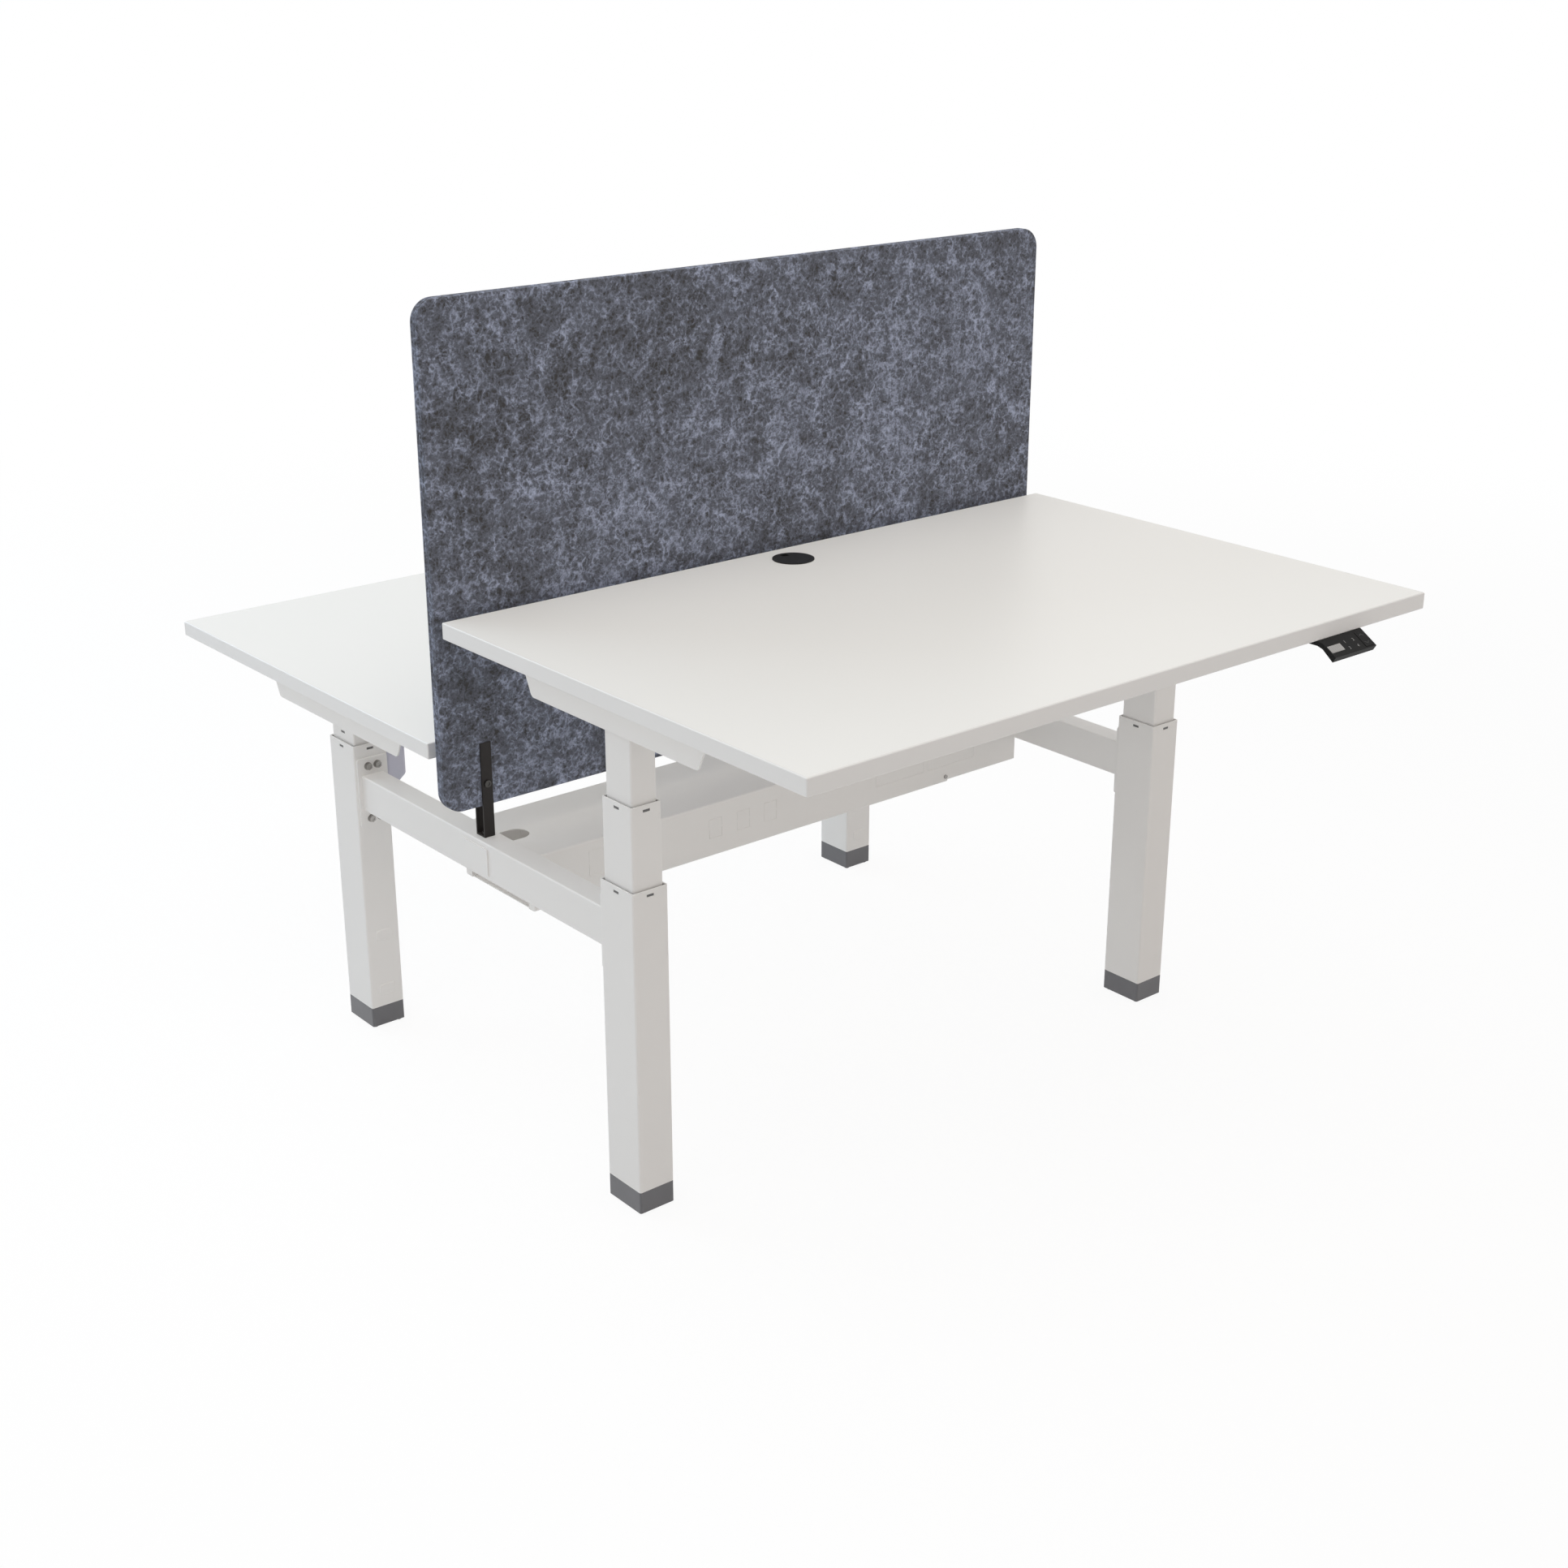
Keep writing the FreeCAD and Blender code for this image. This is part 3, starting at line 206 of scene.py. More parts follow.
class DeskColours(bpy.types.PropertyGroup):
    """Colours of the finishes, as they look under plain white light."""

    paint: colour_value("Paint", "Powder coat of the steelwork", (0.80, 0.79, 0.775))
    laminate: colour_value("Laminate", "Faces of the tops", (0.832, 0.832, 0.808))
    edging: colour_value("Edging", "Plastic edging of the tops", (0.80, 0.795, 0.785))
    felt_dark: colour_value("Felt dark", "Darkest fibres of the screen", (0.049, 0.047, 0.047))
    felt_middle: colour_value("Felt middle", "Most of the screen's fibres", (0.134, 0.146, 0.183))
    felt_light: colour_value("Felt light", "Palest fibres of the screen", (0.395, 0.44, 0.58))
    bracket: colour_value("Brackets", "Black powder coat of the screen brackets", (0.022, 0.019, 0.018))
    plastic: colour_value("Black plastic", "Handsets and grommets", (0.016, 0.016, 0.016))
    bush: colour_value("Guide bushes", "Grey plastic of the guide bushes", (0.12, 0.12, 0.12))
    foot: colour_value("Foot caps", "Glossy plastic of the foot caps", (0.13, 0.13, 0.14))
    zinc: colour_value("Zinc", "Plated bolts, screws and shafts", (0.42, 0.405, 0.39))
    housing: colour_value("Housing", "Motors, gearboxes and control boxes", (0.56, 0.56, 0.655))
    display: colour_value("Display", "Glass of the handset display", (0.34, 0.335, 0.33))
    numeral: colour_value("Numerals", "Printed numerals of the handset", (0.30, 0.30, 0.30))


class DeskStage(bpy.types.PropertyGroup):
    """Camera, lamps and floor."""

    camera_place: bpy.props.FloatVectorProperty(
        name="Camera place", description="Where the camera stands", default=(-2.1655, -2.6698, 1.7343),
        subtype="TRANSLATION", unit="LENGTH", size=3,
    )
    camera_yaw: bpy.props.FloatProperty(
        name="Camera yaw", description="Turn of the camera from the Y axis to the right",
        default=math.radians(39.764), subtype="ANGLE",
    )
    camera_pitch: bpy.props.FloatProperty(
        name="Camera pitch", description="How far the camera looks down",
        default=math.radians(21.166), subtype="ANGLE",
    )
    lens: bpy.props.FloatProperty(name="Lens", description="Focal length in millimetres", default=51.25)
    floor: colour_value("Floor", "Pale floor under the desks", (0.82, 0.82, 0.82))
    warm_sky: colour_value("Warm sky", "Tint of the light from the front right", (1.0, 0.93, 0.88))
    cool_sky: colour_value("Cool sky", "Tint of the light from the back left", (0.97, 0.99, 1.0))
    ambient: level_value("Ambient level", "Soft light from all round", 0.26)
    horizon: level_value("Horizon level", "Extra light from near the horizon", 0.72)
    zenith: level_value("Zenith level", "Extra light from straight above", 0.21)
    overhead: level_value("Overhead lamp", "Power of the lamp above in watts", 90.0)
    left: level_value("Left lamp", "Power of the lamp on the left in watts", 12.5)
    front: level_value("Front lamp", "Power of the warm low lamp in front in watts", 7.0)
    rear: level_value("Rear lamp", "Power of the cool lamp behind in watts", 84.0)


class Wire:
    """A node's output, with Python operators that add Math nodes."""

    def __init__(self, board, socket):
        self.board = board
        self.socket = socket

    def worked(self, operation, *terms):
        return self.board.add("ShaderNodeMath", {"operation": operation}, dict(enumerate(terms)))

    def __add__(self, other):
        return self.worked("ADD", self, other)

    def __radd__(self, other):
        return self.worked("ADD", other, self)

    def __sub__(self, other):
        return self.worked("SUBTRACT", self, other)

    def __rsub__(self, other):
        return self.worked("SUBTRACT", other, self)

    def __mul__(self, other):
        return self.worked("MULTIPLY", self, other)

    def __rmul__(self, other):
        return self.worked("MULTIPLY", other, self)

    def __pow__(self, other):
        return self.worked("POWER", self, other)

    def __abs__(self):
        return self.worked("ABSOLUTE", self)

    def least(self, other):
        return self.worked("MINIMUM", self, other)

    def most(self, other):
        return self.worked("MAXIMUM", self, other)


class Board:
    """A node tree that is filled one node at a time."""

    def __init__(self, tree):
        self.tree = tree
        tree.nodes.clear()

    def add(self, kind, settings=None, sockets=None, output=0):
        """Add a node, set it up, feed its sockets and give back one of its outputs."""
        node = self.tree.nodes.new(kind)
        for name, value in (settings or {}).items():
            if name == "stops":
                self.set_stops(node.color_ramp, value)
            else:
                setattr(node, name, value)
        for name, value in (sockets or {}).items():
            self.feed(node.inputs[name], value)
        return Wire(self, node.outputs[output]) if node.outputs else None

    def feed(self, socket, value):
        if isinstance(value, Wire):
            self.tree.links.new(value.socket, socket)
        elif socket.type == "RGBA" and len(value) == 3:
            socket.default_value = (*value, 1.0)
        else:
            socket.default_value = value

    def set_stops(self, ramp, stops):
        while len(ramp.elements) < len(stops):
            ramp.elements.new(0.5)
        for element, (place, colour) in zip(ramp.elements, stops):
            element.position = place
            element.color = (*colour, 1.0)

    def place(self):
        """Object coordinates: the frame's metres on every piece, and the direction in the sky."""
        return self.add("ShaderNodeTexCoord", output="Object")

    def axes(self):
        """The three object coordinates as separate numbers."""
        spot = self.place()
        return [self.add("ShaderNodeSeparateXYZ", None, {0: spot}, axis) for axis in range(3)]

    def noise(self, scale, detail=2.0, stretch=None, turn=None, rough=0.5, distortion=0.0):
        """Noise over object coordinates, in waves per metre, drawn out by stretch along turned axes."""
        spot = self.place()
        if stretch or turn:
            spot = self.add("ShaderNodeMapping", {"vector_type": "TEXTURE"}, {
                "Vector": spot, "Scale": stretch or (1, 1, 1), "Rotation": turn or (0, 0, 0),
            })
        return self.add("ShaderNodeTexNoise", None, {
            "Vector": spot, "Scale": scale, "Detail": detail, "Roughness": rough, "Distortion": distortion,
        })

    def smooth(self, value, low, high):
        """0 below low and 1 above high, with a soft step between."""
        return self.add("ShaderNodeMapRange", {"interpolation_type": "SMOOTHSTEP"}, {
            "Value": value, "From Min": low, "From Max": high,
        })

    def mix(self, share, first, second):
        """The first colour at 0 and the second at 1."""
        return self.add("ShaderNodeMix", {"data_type": "RGBA"}, {0: share, 6: first, 7: second}, 2)

    def mottled(self, share, colour, dark, pale):
        """A colour times dark where the share is 0 and times pale where it is 1."""
        return self.mix(share, shaded(colour, dark), shaded(colour, pale))

    def uneven(self, level, spread, noise):
        """A level with a spread of noise about it."""
        return level + spread * (noise - 0.5)

    def bump(self, height, strength, distance):
        return self.add("ShaderNodeBump", None, {
            "Height": height, "Strength": strength, "Distance": distance,
        })


def finish_material(name, build):
    """A material whose build function returns the sockets of one Principled shader."""
    material = bpy.data.materials.get(name) or bpy.data.materials.new(name)
    material.use_nodes = True
    board = Board(material.node_tree)
    shader = board.add("ShaderNodeBsdfPrincipled", None, build(board))
    board.add("ShaderNodeOutputMaterial", None, {"Surface": shader})
    return material


def shaded(colour, factor):
    return tuple(part * factor for part in colour)


def powder_coat(colour, gloss, shine=0.45):
    """Powder coat: fine orange peel, faint cloudiness and a slightly uneven gloss."""

    def build(board):
        cloud = board.noise(scale=3.0, detail=3.0)
        peel = board.noise(scale=650.0)
        wave = board.noise(scale=160.0, detail=1.0)
        return {
            "Base Color": board.mottled(cloud, colour, dark=0.975, pale=1.02),
            "Roughness": board.uneven(gloss, spread=0.10, noise=peel),
            "Specular IOR Level": shine,
            "Normal": board.bump(peel + 1.5 * wave, strength=0.10, distance=0.0004),
        }

    return build


def laminate(colours, sizes):
    """Melamine with a fine pearl grain, and plastic edging behind a hairline joint."""
    low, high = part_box("front_top_board")
    half_wide = (high.x - low.x) / 2
    half_deep = (high.y - low.y) / 2
    middle = -(low.y + high.y) / 2

    def build(board):
        x, y, _ = board.axes()
        inset = (half_wide - abs(x)).least(half_deep - abs(abs(y) - middle))
        face = board.smooth(inset, sizes.edging - sizes.edging_line, sizes.edging)
        joint = face * (1 - board.smooth(inset, sizes.edging, sizes.edging + sizes.edging_line))
        pearl = board.noise(scale=900.0)
        cloud = board.noise(scale=2.2)
        board_colour = board.mottled(cloud, colours.laminate, dark=0.985, pale=1.012)
        colour = board.mix(face, colours.edging, board_colour)
        joint_colour = shaded(colours.edging, JOINT_SHADE)
        return {
            "Base Color": board.mix(JOINT_STRENGTH * joint, colour, joint_colour),
            "Roughness": board.uneven(EDGING_ROUGH + FACE_ROUGHER * face, spread=0.08, noise=pearl),
            "Specular IOR Level": 0.5,
            "Normal": board.bump(pearl - 2.0 * joint, strength=0.08, distance=0.0003),
        }

    return build


def felt(colours):
    """Pressed felt: curly filaments and short strands over soft blotches, with painted shade in small pits
    and a fuzzy sheen.
    """

    def build(board):
        fibre = None
        for order in range(FELT_DIRECTIONS):
            angle = math.pi * (order + FELT_FIRST_TURN) / FELT_DIRECTIONS
            scale = FELT_STRANDS + FELT_STRAND_STEP * order
            turn = (0.0, angle, 0.0)
            strand = board.noise(scale, stretch=FELT_STRAND_STRETCH, turn=turn, rough=0.6, distortion=0.5)
            fibre = strand if fibre is None else fibre.most(strand)
        web = None
        for scale in FELT_CURLS:
            curl = abs(board.noise(scale, rough=0.55, distortion=0.3) - 0.5)
            line = 1 - board.smooth(curl, low=0.0, high=0.09)
            web = line if web is None else web + line
        drift = board.noise(scale=2.4, detail=1.0)
        blotch = board.noise(scale=9.0)
        patch = board.noise(scale=34.0, detail=5.0, rough=0.68)
        thick = board.noise(scale=21.0)
        # painted shade: small pits darken the felt's colour, with no hollow in the bump
        pit_shade = board.smooth(board.noise(scale=120.0), low=0.58, high=0.76)
        fuzz = board.noise(scale=480.0, detail=3.0, rough=0.6)
        weight = FELT_WEIGHTS
        tone = weight["drift"] * (drift - 0.5) + weight["blotch"] * (blotch - 0.5)
        tone = tone + weight["patch"] * (patch - 0.5) + weight["fibre"] * (fibre - FELT_FIBRE_MIDDLE)
        tone = tone + weight["web"] * web * thick + weight["fuzz"] * (fuzz - 0.5)
        # painted shade: the pits' mask is taken off the tone
        tone = tone - weight["pit_shade"] * pit_shade + FELT_LEVEL
        stops = [
            (0.0, colours.felt_dark),
            (FELT_MIDDLE_STOP, colours.felt_middle),
            (1.0, colours.felt_light),
        ]
        relief = fibre + FELT_RELIEF * web + FELT_RELIEF * fuzz
        return {
            "Base Color": board.add("ShaderNodeValToRGB", {"stops": stops}, {0: tone}),
            "Roughness": 0.9,
            "Specular IOR Level": 0.12,
            "Sheen Weight": 0.15,
            "Sheen Roughness": 0.55,
            "Sheen Tint": (0.80, 0.85, 1.0),
            "Normal": board.bump(relief, strength=0.4, distance=0.0012),
        }

    return build


def moulded(colour, gloss, grain, depth, shine=0.5):
    """Moulded plastic: spark-eroded grain, faint flow marks and worn sheen."""

    def build(board):
        texture = board.noise(grain)
        flow = board.noise(scale=24.0, detail=3.0)
        sheen = board.uneven(gloss, spread=0.14, noise=flow)
        return {
            "Base Color": board.mottled(flow, colour, dark=0.88, pale=1.12),
            "Roughness": board.uneven(sheen, spread=0.08, noise=texture),
            "Specular IOR Level": shine,
            "Normal": board.bump(texture, strength=depth, distance=0.0003),
        }

    return build


def plated(colour):
    """Zinc plate: metal with passivation clouds and fine turning marks."""

    def build(board):
        cloud = board.noise(scale=90.0, detail=3.0)
        scratch = board.noise(scale=700.0, stretch=(1.0, 1.0, 6.0))
        return {
            "Base Color": board.mottled(cloud, colour, dark=0.72, pale=1.05),
            "Metallic": 1.0,
            "Roughness": 0.30 + 0.16 * cloud + 0.10 * scratch,
            "Normal": board.bump(scratch, strength=0.12, distance=0.0002),
        }

    return build


def display_glass(colour):
    """A pale display with a faint row of bars and soft clouds across it."""

    def build(board):
        x, _, _ = board.axes()
        cells = board.add("ShaderNodeMath", {"operation": "PINGPONG"}, {0: x, 1: DISPLAY_CELL})
        bars = board.smooth(cells, DISPLAY_BAR_START, DISPLAY_BAR_FULL)
        cloud = board.noise(scale=160.0)
        return {
            "Base Color": board.mottled(0.25 * bars + 0.2 * cloud, colour, dark=1.0, pale=0.6),
            "Roughness": 0.12 + 0.1 * cloud,
            "Coat Weight": 0.4,
        }

    return build


def printed(colour):
    """Printed ink that is a little thin in places."""

    def build(board):
        thin = board.noise(scale=1400.0)
        return {
            "Base Color": board.mottled(thin, colour, dark=0.75, pale=1.15),
            "Roughness": 0.5 + 0.1 * thin,
        }

    return build


def dress(nodes, material):
    """Give CAD nodes a material."""
    for name in nodes:
        mesh_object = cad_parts[name]
        for slot in mesh_object.material_slots:
            slot.material = material
        if not mesh_object.material_slots:
            mesh_object.data.materials.append(material)


def slab(width, tall, corner, profile, columns, rows):
    """A closed plate with round corners, lying in XY, as points and quads.

    Each cap is a grid of u and v: x follows u, with equal angles in the corners, and y is v times
    half the outline's height at that x. The wall joins both caps, ring by ring: each ring is the outline
    drawn in by one inset of the profile and lifted to its height, from the lower cap to the upper.
    """
    angle = np.linspace(0.0, math.pi / 2, columns)
    reach = width / 2 - corner
    straight = np.linspace(-reach, reach, columns)[1:-1]
    flat = np.concatenate([np.full(columns, -reach), straight, np.full(columns, reach)])
    lean = np.concatenate([-np.cos(angle), np.zeros(len(straight)), np.cos(angle[::-1])])
    rise = np.concatenate([np.sin(angle), np.ones(len(straight)), np.sin(angle[::-1])])
    share = np.linspace(-1.0, 1.0, rows)
    count = len(flat)

    def sheet(inset, height):
        x = flat + (corner - inset) * lean
        half = tall / 2 - corner + (corner - inset) * rise
        grid = np.empty((count, rows, 3))
        grid[..., 0] = x[:, None]
        grid[..., 1] = half[:, None] * share
        grid[..., 2] = height
        return grid.reshape(-1, 3)

    index = np.arange(count * rows).reshape(count, rows)
    rim = np.concatenate([index[:, 0], index[-1, 1:], index[-2::-1, -1], index[0, -2:0:-1]])
    cells = np.stack([index[:-1, :-1], index[1:, :-1], index[1:, 1:], index[:-1, 1:]], -1).reshape(-1, 4)
    sheets = [sheet(inset, height) for inset, height in profile]
    points = [sheets[0], sheets[-1]] + [ring[rim] for ring in sheets[1:-1]]
    upper = count * rows
    loops = [rim]
    for step in range(len(profile) - 2):
        loops.append(2 * upper + step * len(rim) + np.arange(len(rim)))
    loops.append(rim + upper)
    quads = [cells[:, ::-1], cells + upper]
    for below, above in zip(loops[:-1], loops[1:]):
        quads.append(np.stack([below, np.roll(below, -1), np.roll(above, -1), above], -1))
    return np.concatenate(points), np.concatenate(quads)


def ribbon(path, width, height):
    """A low bar carried along a flat path, as points and quads.

    Each station is the path's point plus the section's offset along the mitre, which is the sum of the
    neighbouring sides' normals over one plus their product, and the section's height along Z.
    """
    path = np.asarray(path, float)
    runs = np.diff(path, axis=0)
    runs /= np.linalg.norm(runs, axis=1)[:, None]
    sides = np.stack([-runs[:, 1], runs[:, 0]], -1)
    before = np.concatenate([sides[:1], sides])
    after = np.concatenate([sides, sides[-1:]])
    mitre = (before + after) / (1 + np.sum(before * after, axis=1))[:, None]
    across = width * np.array(RIBBON_ACROSS)
    lift = height * np.array(RIBBON_LIFT)
    points = np.empty((len(path), len(across), 3))
    points[..., :2] = path[:, None] + across[:, None] * mitre[:, None]
    points[..., 2] = lift
    index = np.arange(points.size // 3).reshape(len(path), len(across))
    ring = np.concatenate([index, index[:, :1]], axis=1)
    quads = np.stack([ring[:-1, :-1], ring[1:, :-1], ring[1:, 1:], ring[:-1, 1:]], -1).reshape(-1, 4)
    ends = np.stack([index[0], index[-1, ::-1]])
    return points.reshape(-1, 3), np.concatenate([quads, ends])


def placed(shape, origin, right, up):
    """Put a flat shape on a face: its X runs along right, its Y along up and its Z off the face."""
    points, faces = shape
    axes = np.array([right, up, np.cross(right, up)], float)
    return np.asarray(origin, float) + points @ axes, faces


def gathered(shapes):
    """Several shapes as one list of points and one of faces."""
    starts = np.cumsum([0] + [len(points) for points, _ in shapes[:-1]])
    points = np.concatenate([shape[0] for shape in shapes])
    faces = np.concatenate([shape[1] + start for shape, start in zip(shapes, starts)])
    return points, faces


def add_piece(name, shape, material, body):
    """Make a mesh object from points and faces, and let it ride on a body."""
    points, faces = shape
    mesh = bpy.data.meshes.new(name)
    mesh.from_pydata(points.tolist(), [], faces.tolist())
    return settle(name, mesh, material, body)


def settle(name, mesh, material, body):
    mesh.shade_smooth()
    mesh.set_sharp_from_angle(angle=SMOOTH_UNDER)
    mesh.materials.clear()
    mesh.materials.append(material)
    if mesh.validate():
        raise RuntimeError(name + " has bad faces")
    piece = bpy.data.objects.new(name, mesh)
    bpy.context.scene.collection.objects.link(piece)
    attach(piece, body)
    return piece


def handset_place(desk, x, slope):
    """Origin, right and up of a spot on a handset's sloped face; the rear one is turned half round."""
    low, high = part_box(desk + "_top_board")
    sign = 1 if desk == "front" else -1
    edge = low.y if desk == "front" else high.y
    out = slope * math.cos(HANDSET_TILT)
    origin = (sign * x, edge - sign * out, low.z - slope * math.sin(HANDSET_TILT))
    return origin, (sign, 0, 0), (0, sign * math.cos(HANDSET_TILT), math.sin(HANDSET_TILT))


class DESK_OT_steelwork(bpy.types.Operator):
    """Powder coat the columns, beams, rails and cable beam"""

    bl_idname = "desk.steelwork"
    bl_label = "Steelwork"

    def execute(self, context):
        colours = context.scene.desk_colours
        names = ["left_cross_beam", "right_cross_beam", "cross_beam_covers", "cable_beam_outer_section"]
        names += ["cable_beam_inner_section", "cable_beam_lids"]
        for column in COLUMNS:
            names += [column + end for end in ("_outer_tube", "_middle_tube", "_inner_tube", "_side_rail")]
        dress(names, finish_material("white_powder_coat", powder_coat(colours.paint, gloss=0.40)))
        black = powder_coat(colours.bracket, gloss=0.46, shine=0.22)
        dress(["screen_brackets"], finish_material("black_powder_coat", black))
        return {"FINISHED"}


class DESK_OT_fasteners(bpy.types.Operator):
    """Plate the bolts, screws and shafts with zinc"""

    bl_idname = "desk.fasteners"
    bl_label = "Fasteners and shafts"

    def execute(self, context):
        names = ["cross_beam_bolts", "cable_beam_screws"]
        for desk in DESKS:
            names += [desk + "_drive_shaft", desk + "_rail_screws"]
        names += [column + "_lift_screw" for column in COLUMNS]
        zinc = context.scene.desk_colours.zinc
        dress(names, finish_material("zinc_plate", plated(zinc)))
        dress(["screen_screws"], finish_material("dark_zinc_plate", plated(shaded(zinc, DARK_ZINC))))
        return {"FINISHED"}


class DESK_OT_worktops(bpy.types.Operator):
    """Give the tops their laminate and edging"""

    bl_idname = "desk.worktops"
    bl_label = "Worktops"

    def execute(self, context):
        scene = context.scene
        material = finish_material("white_laminate", laminate(scene.desk_colours, scene.desk_sizes))
        dress([desk + "_top_board" for desk in DESKS], material)
        return {"FINISHED"}


class DESK_OT_plastics(bpy.types.Operator):
    """Finish the plastic parts: foot caps, bushes, grommets, handsets and housings"""

    bl_idname = "desk.plastics"
    bl_label = "Plastic parts"

    def execute(self, context):
        colours = context.scene.desk_colours
        bushes = ["outer_guide_bushes"] + [column + "_middle_bush" for column in COLUMNS]
        handsets = []
        grommets = []
        grey = []
        for desk in DESKS:
            handsets += [desk + "_handset", desk + "_rocker_key"]
            grommets += [desk + "_grommet_ring", desk + "_grommet_cap"]
            grey += [desk + end for end in ("_gear_motor", "_bevel_gearboxes", "_control_box")]
        feet = [column + "_foot_cap" for column in COLUMNS]
        black = colours.plastic
        finishes = {
            "handset_plastic": (handsets, moulded(black, gloss=0.46, grain=1100.0, depth=0.2, shine=0.08)),
            "grommet_plastic": (grommets, moulded(black, gloss=0.42, grain=1100.0, depth=0.25, shine=0.20)),
            "grey_plastic": (bushes, moulded(colours.bush, gloss=0.5, grain=1000.0, depth=0.2)),
            "grey_housing": (grey, moulded(colours.housing, gloss=0.36, grain=800.0, depth=0.15)),
            "foot_plastic": (feet, moulded(colours.foot, gloss=0.22, grain=900.0, depth=0.08)),
        }
        for name, (nodes, finish) in finishes.items():
            dress(nodes, finish_material(name, finish))
        return {"FINISHED"}


class DESK_OT_felt_screen(bpy.types.Operator):
    """Build the felt screen from three pressed layers with seams round its edge"""

    bl_idname = "desk.felt_screen"
    bl_label = "Felt screen"

    def execute(self, context):
        sizes = context.scene.desk_sizes
        low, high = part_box("felt_screen")
        thick = high.y - low.y
        steps = np.linspace(0.0, 1.0, FELT_LAYER_STEPS)
        within = (1 - np.cos(math.pi * steps)) / 2
        layers = [(layer + within[:-1]) / FELT_LAYERS for layer in range(FELT_LAYERS)]
        share = np.concatenate(layers + [[1.0]])
        swell = np.abs(np.sin(FELT_LAYERS * math.pi * share)) ** FELT_SEAM_POWER
        profile = list(zip(sizes.felt_seam_depth * (1 - swell), thick * (share - 0.5)))
        wide = high.x - low.x
        tall = high.z - low.z
        shape = slab(wide, tall, sizes.felt_corner, profile, FELT_CORNER_STEPS, FELT_ROWS)
        middle = [(a + b) / 2 for a, b in zip(low, high)]
        upright = placed(shape, middle, (1, 0, 0), (0, 0, 1))
        material = finish_material("grey_felt", felt(context.scene.desk_colours))
        piece = add_piece("felt_panel", upright, material, "frame")
        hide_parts("felt_screen")
        return {"FINISHED"}


class DESK_OT_column_pads(bpy.types.Operator):
    """Put two blank embossed pads on the inner face of each column"""

    bl_idname = "desk.column_pads"
    bl_label = "Column pads"

    def execute(self, context):
        sizes = context.scene.desk_sizes
        slope = np.linspace(0.0, 1.0, PAD_BEVEL_STEPS)
        profile = list(zip(PAD_BEVEL * slope, sizes.pad_rise * np.sin(slope * math.pi / 2)))
        corner = sizes.pad_corner
        shape = slab(sizes.pad_width, sizes.pad_tall, corner, profile, PAD_CORNER_STEPS, PAD_ROWS)
        shapes = []
        for column in COLUMNS:
            low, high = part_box(column + "_outer_tube")
            sign = -1 if column.startswith("rear") else 1
            face = low.y if column.startswith("rear") else high.y
            centre = (low.x + high.x) / 2 - sign * PAD_SHIFT
            for level in PAD_LEVELS:
                shapes.append(placed(shape, (centre, face, level), (-sign, 0, 0), (0, 0, 1)))
        material = bpy.data.materials["white_powder_coat"]
        add_piece("column_pads", gathered(shapes), material, "frame")
        return {"FINISHED"}


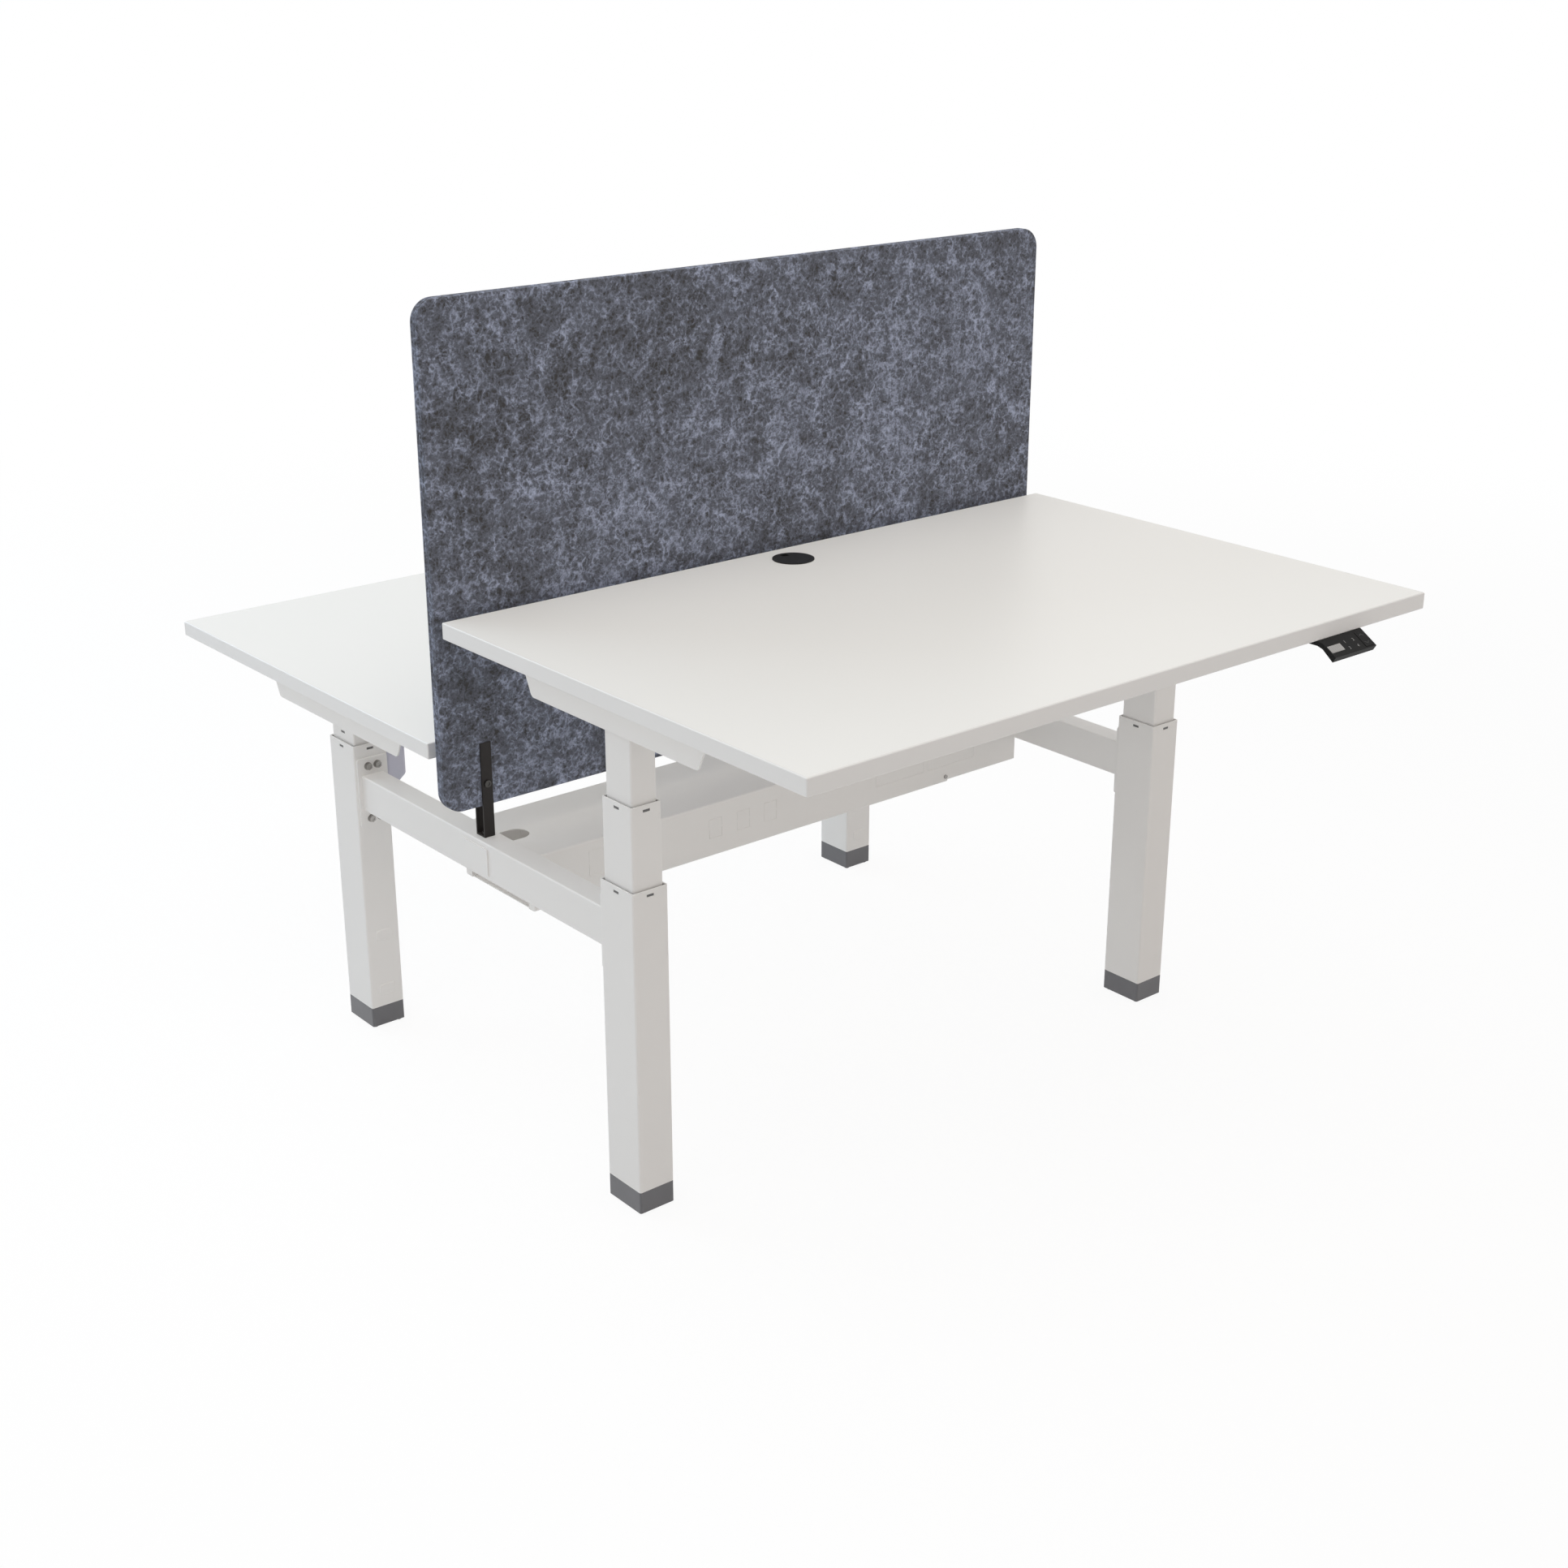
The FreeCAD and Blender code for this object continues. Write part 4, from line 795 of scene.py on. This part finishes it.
class DESK_OT_handsets(bpy.types.Operator):
    """Fit the handsets with display panes, key numerals and rocker marks"""

    bl_idname = "desk.handsets"
    bl_label = "Handset displays and keys"

    def execute(self, context):
        sizes = context.scene.desk_sizes
        colours = context.scene.desk_colours
        glass = finish_material("display_glass", display_glass(colours.display))
        ink = finish_material("key_print", printed(colours.numeral))
        paler = shaded(colours.plastic, MARK_PALER)
        gloss = finish_material("key_gloss", moulded(paler, gloss=0.24, grain=1300.0, depth=0.1))
        for desk in DESKS:
            self.add_pane(desk, sizes, glass)
            self.add_numerals(desk, sizes, ink)
            self.add_marks(desk, sizes, gloss)
        return {"FINISHED"}

    def add_pane(self, desk, sizes, material):
        """The pane fills the handset's recess to just below the face."""
        profile = [
            (0.0, -PANE_BASE_BELOW_FACE),
            (0.0, -PANE_WALL_BELOW_FACE),
            (PANE_BEVEL, -PANE_TOP_BELOW_FACE),
        ]
        wide = sizes.display_wide
        tall = sizes.display_tall
        shape = slab(wide, tall, PANE_CORNER, profile, PANE_CORNER_STEPS, PANE_ROWS)
        spot = handset_place(desk, PANE_X, PANE_SLOPE)
        add_piece(desk + "_display", placed(shape, *spot), material, desk + "_desk")

    def add_numerals(self, desk, sizes, material):
        """Numerals one to four, two by two beside the display."""
        shapes = bmesh.new()
        for order in range(NUMERAL_COUNT):
            row, column = divmod(order, NUMERAL_COLUMNS)
            x = NUMERAL_X + NUMERAL_X_PITCH * column
            slope = NUMERAL_SLOPE + NUMERAL_SLOPE_PITCH * row
            spot = handset_place(desk, x, slope)
            mesh = self.numeral(str(order + 1), sizes.legend)
            points = np.empty(len(mesh.vertices) * 3)
            mesh.vertices.foreach_get("co", points)
            moved, _ = placed((points.reshape(-1, 3), None), *spot)
            mesh.vertices.foreach_set("co", moved.ravel())
            shapes.from_mesh(mesh)
            bpy.data.meshes.remove(mesh)
        printed_mesh = bpy.data.meshes.new(desk + "_numerals")
        shapes.to_mesh(printed_mesh)
        shapes.free()
        settle(desk + "_numerals", printed_mesh, material, desk + "_desk")

    def numeral(self, text, tall):
        """A numeral as a thin mesh, centred on the origin."""
        curve = bpy.data.curves.new("numeral", "FONT")
        curve.body = text
        curve.size = tall * FONT_SIZE_PER_HEIGHT
        curve.align_x = "CENTER"
        curve.align_y = "CENTER"
        curve.extrude = NUMERAL_HALF_THICK
        curve.resolution_u = NUMERAL_CURVE_STEPS
        writing = bpy.data.objects.new("numeral", curve)
        mesh = bpy.data.meshes.new_from_object(writing)
        bpy.data.objects.remove(writing)
        bpy.data.curves.remove(curve)
        return mesh

    def add_marks(self, desk, sizes, material):
        """An up and a down chevron on the rocker key, which stands proud of the face."""
        arm = sizes.chevron
        rise = MARK_STEEPNESS * arm
        shapes = []
        for turn, slope in MARK_SLOPES.items():
            path = [(-arm, -turn * rise), (0.0, turn * rise), (arm, -turn * rise)]
            shape = ribbon(path, MARK_WIDTH, MARK_RISE)
            origin, right, up = handset_place(desk, MARK_X, slope)
            lifted = np.array(origin) + KEY_PROUD * np.cross(right, up)
            shapes.append(placed(shape, lifted, right, up))
        add_piece(desk + "_key_marks", gathered(shapes), material, desk + "_key")


class DESK_OT_stage(bpy.types.Operator):
    """Set up the floor, the lamps, the white surroundings and the camera"""

    bl_idname = "desk.stage"
    bl_label = "Stage"

    def execute(self, context):
        stage = context.scene.desk_stage
        self.add_floor(context, stage)
        self.add_surroundings(context, stage)
        for name, lamp in LAMPS.items():
            self.add_lamp(context, name + "_lamp", getattr(stage, name), **lamp)
        self.add_camera(context, stage)
        context.scene.view_settings.view_transform = "Standard"
        return {"FINISHED"}

    def seen(self, board):
        """1 for rays that the eye, a mirror or a glass follows."""
        kinds = ("Is Camera Ray", "Is Glossy Ray", "Is Transmission Ray")
        camera, glossy, through = [board.add("ShaderNodeLightPath", output=kind) for kind in kinds]
        return camera.most(glossy).most(through)

    def add_floor(self, context, stage):
        """A flat grid of u and v, white to the eye, that keeps the shadow near the desks."""
        across = np.linspace(-FLOOR_REACH, FLOOR_REACH, FLOOR_LINES)
        points = np.stack(np.meshgrid(across, across, [0.0], indexing="ij"), -1).reshape(-1, 3)
        index = np.arange(len(points)).reshape(len(across), len(across))
        quads = np.stack([index[:-1, :-1], index[1:, :-1], index[1:, 1:], index[:-1, 1:]], -1)
        mesh = bpy.data.meshes.new("floor")
        mesh.from_pydata(points.tolist(), [], quads.reshape(-1, 4).tolist())
        material = bpy.data.materials.new("pale_floor")
        material.use_nodes = True
        board = Board(material.node_tree)
        x, y, _ = board.axes()
        far = board.smooth((x * x + y * y) ** 0.5, SHADOW_FULL_WITHIN, SHADOW_GONE_BEYOND)
        white = board.add("ShaderNodeEmission", None, {"Color": WHITE, "Strength": 1.0})
        shadowed = board.add("ShaderNodeBsdfDiffuse", None, {"Color": WHITE})
        share = FLOOR_WHITE_SHARE + (1 - FLOOR_WHITE_SHARE) * far
        shown = board.add("ShaderNodeMixShader", None, {0: share, 1: shadowed, 2: white})
        pale = board.add("ShaderNodeBsdfDiffuse", None, {"Color": stage.floor})
        both = board.add("ShaderNodeMixShader", None, {0: self.seen(board), 1: pale, 2: shown})
        board.add("ShaderNodeOutputMaterial", None, {"Surface": both})
        mesh.materials.append(material)
        floor = bpy.data.objects.new("floor", mesh)
        context.scene.collection.objects.link(floor)

    def add_surroundings(self, context, stage):
        """A sky that is warm on one side, cool on the other, and white to the eye."""
        world = bpy.data.worlds.new("white_studio")
        world.use_nodes = True
        board = Board(world.node_tree)
        x, y, z = board.axes()
        turned = board.smooth(y - SKY_LEAN * x, -SKY_BLEND, SKY_BLEND)
        soft = board.mix(turned, stage.warm_sky, stage.cool_sky)
        above = z.most(0.0)
        level = stage.ambient + stage.horizon * (1 - above) ** HORIZON_POWER + stage.zenith * above
        even = board.add("ShaderNodeBackground", None, {"Color": soft, "Strength": level})
        white = board.add("ShaderNodeBackground", None, {"Color": WHITE, "Strength": 1.0})
        both = board.add("ShaderNodeMixShader", None, {0: self.seen(board), 1: even, 2: white})
        board.add("ShaderNodeOutputWorld", None, {"Surface": both})
        context.scene.world = world

    def add_lamp(self, context, name, power, spot, size, colour, shadow):
        """A soft rectangular lamp that faces the middle of the desks.

        One without shadow lights what lies under the tops as well.
        """
        lamp = bpy.data.lights.new(name, "AREA")
        lamp.shape = "RECTANGLE"
        lamp.size, lamp.size_y = size
        lamp.energy = power
        lamp.color = colour
        lamp.use_shadow = shadow
        holder = bpy.data.objects.new(name, lamp)
        low, high = cad_box
        aim = (low + high) / 2
        holder.location = spot
        holder.rotation_euler = (aim - holder.location).to_track_quat("-Z", "Y").to_euler()
        holder.visible_camera = False
        context.scene.collection.objects.link(holder)

    def add_camera(self, context, stage):
        lens = bpy.data.cameras.new("camera")
        lens.sensor_width = SENSOR_WIDTH
        lens.lens = stage.lens
        camera = bpy.data.objects.new("camera", lens)
        camera.location = stage.camera_place
        camera.rotation_euler = (math.pi / 2 - stage.camera_pitch, 0.0, -stage.camera_yaw)
        context.scene.collection.objects.link(camera)
        context.scene.camera = camera


OPERATORS = (
    DESK_OT_steelwork,
    DESK_OT_fasteners,
    DESK_OT_worktops,
    DESK_OT_plastics,
    DESK_OT_felt_screen,
    DESK_OT_column_pads,
    DESK_OT_handsets,
    DESK_OT_stage,
)
GROUPS = {"desk_sizes": DeskSizes, "desk_colours": DeskColours, "desk_stage": DeskStage}


class DESK_PT_sidebar(bpy.types.Panel):
    """Lists the desks' pieces and their settings"""

    bl_label = "Desks"
    bl_idname = "DESK_PT_sidebar"
    bl_space_type = "VIEW_3D"
    bl_region_type = "UI"
    bl_category = "Desks"

    def draw(self, context):
        for operator in OPERATORS:
            self.layout.operator(operator.bl_idname)
        for name, group in GROUPS.items():
            box = self.layout.box()
            for setting in group.__annotations__:
                box.prop(getattr(context.scene, name), setting)


def register():
    for kind in (*GROUPS.values(), *OPERATORS, DESK_PT_sidebar):
        bpy.utils.register_class(kind)
    for name, group in GROUPS.items():
        setattr(bpy.types.Scene, name, bpy.props.PointerProperty(type=group))


def unregister():
    for name in GROUPS:
        delattr(bpy.types.Scene, name)
    for kind in (DESK_PT_sidebar, *reversed(OPERATORS), *GROUPS.values()):
        bpy.utils.unregister_class(kind)


def main():
    register()
    bpy.ops.desk.steelwork()
    bpy.ops.desk.fasteners()
    bpy.ops.desk.worktops()
    bpy.ops.desk.plastics()
    bpy.ops.desk.felt_screen()
    bpy.ops.desk.column_pads()
    bpy.ops.desk.handsets()
    bpy.ops.desk.stage()


if __name__ == "__main__":
    main()
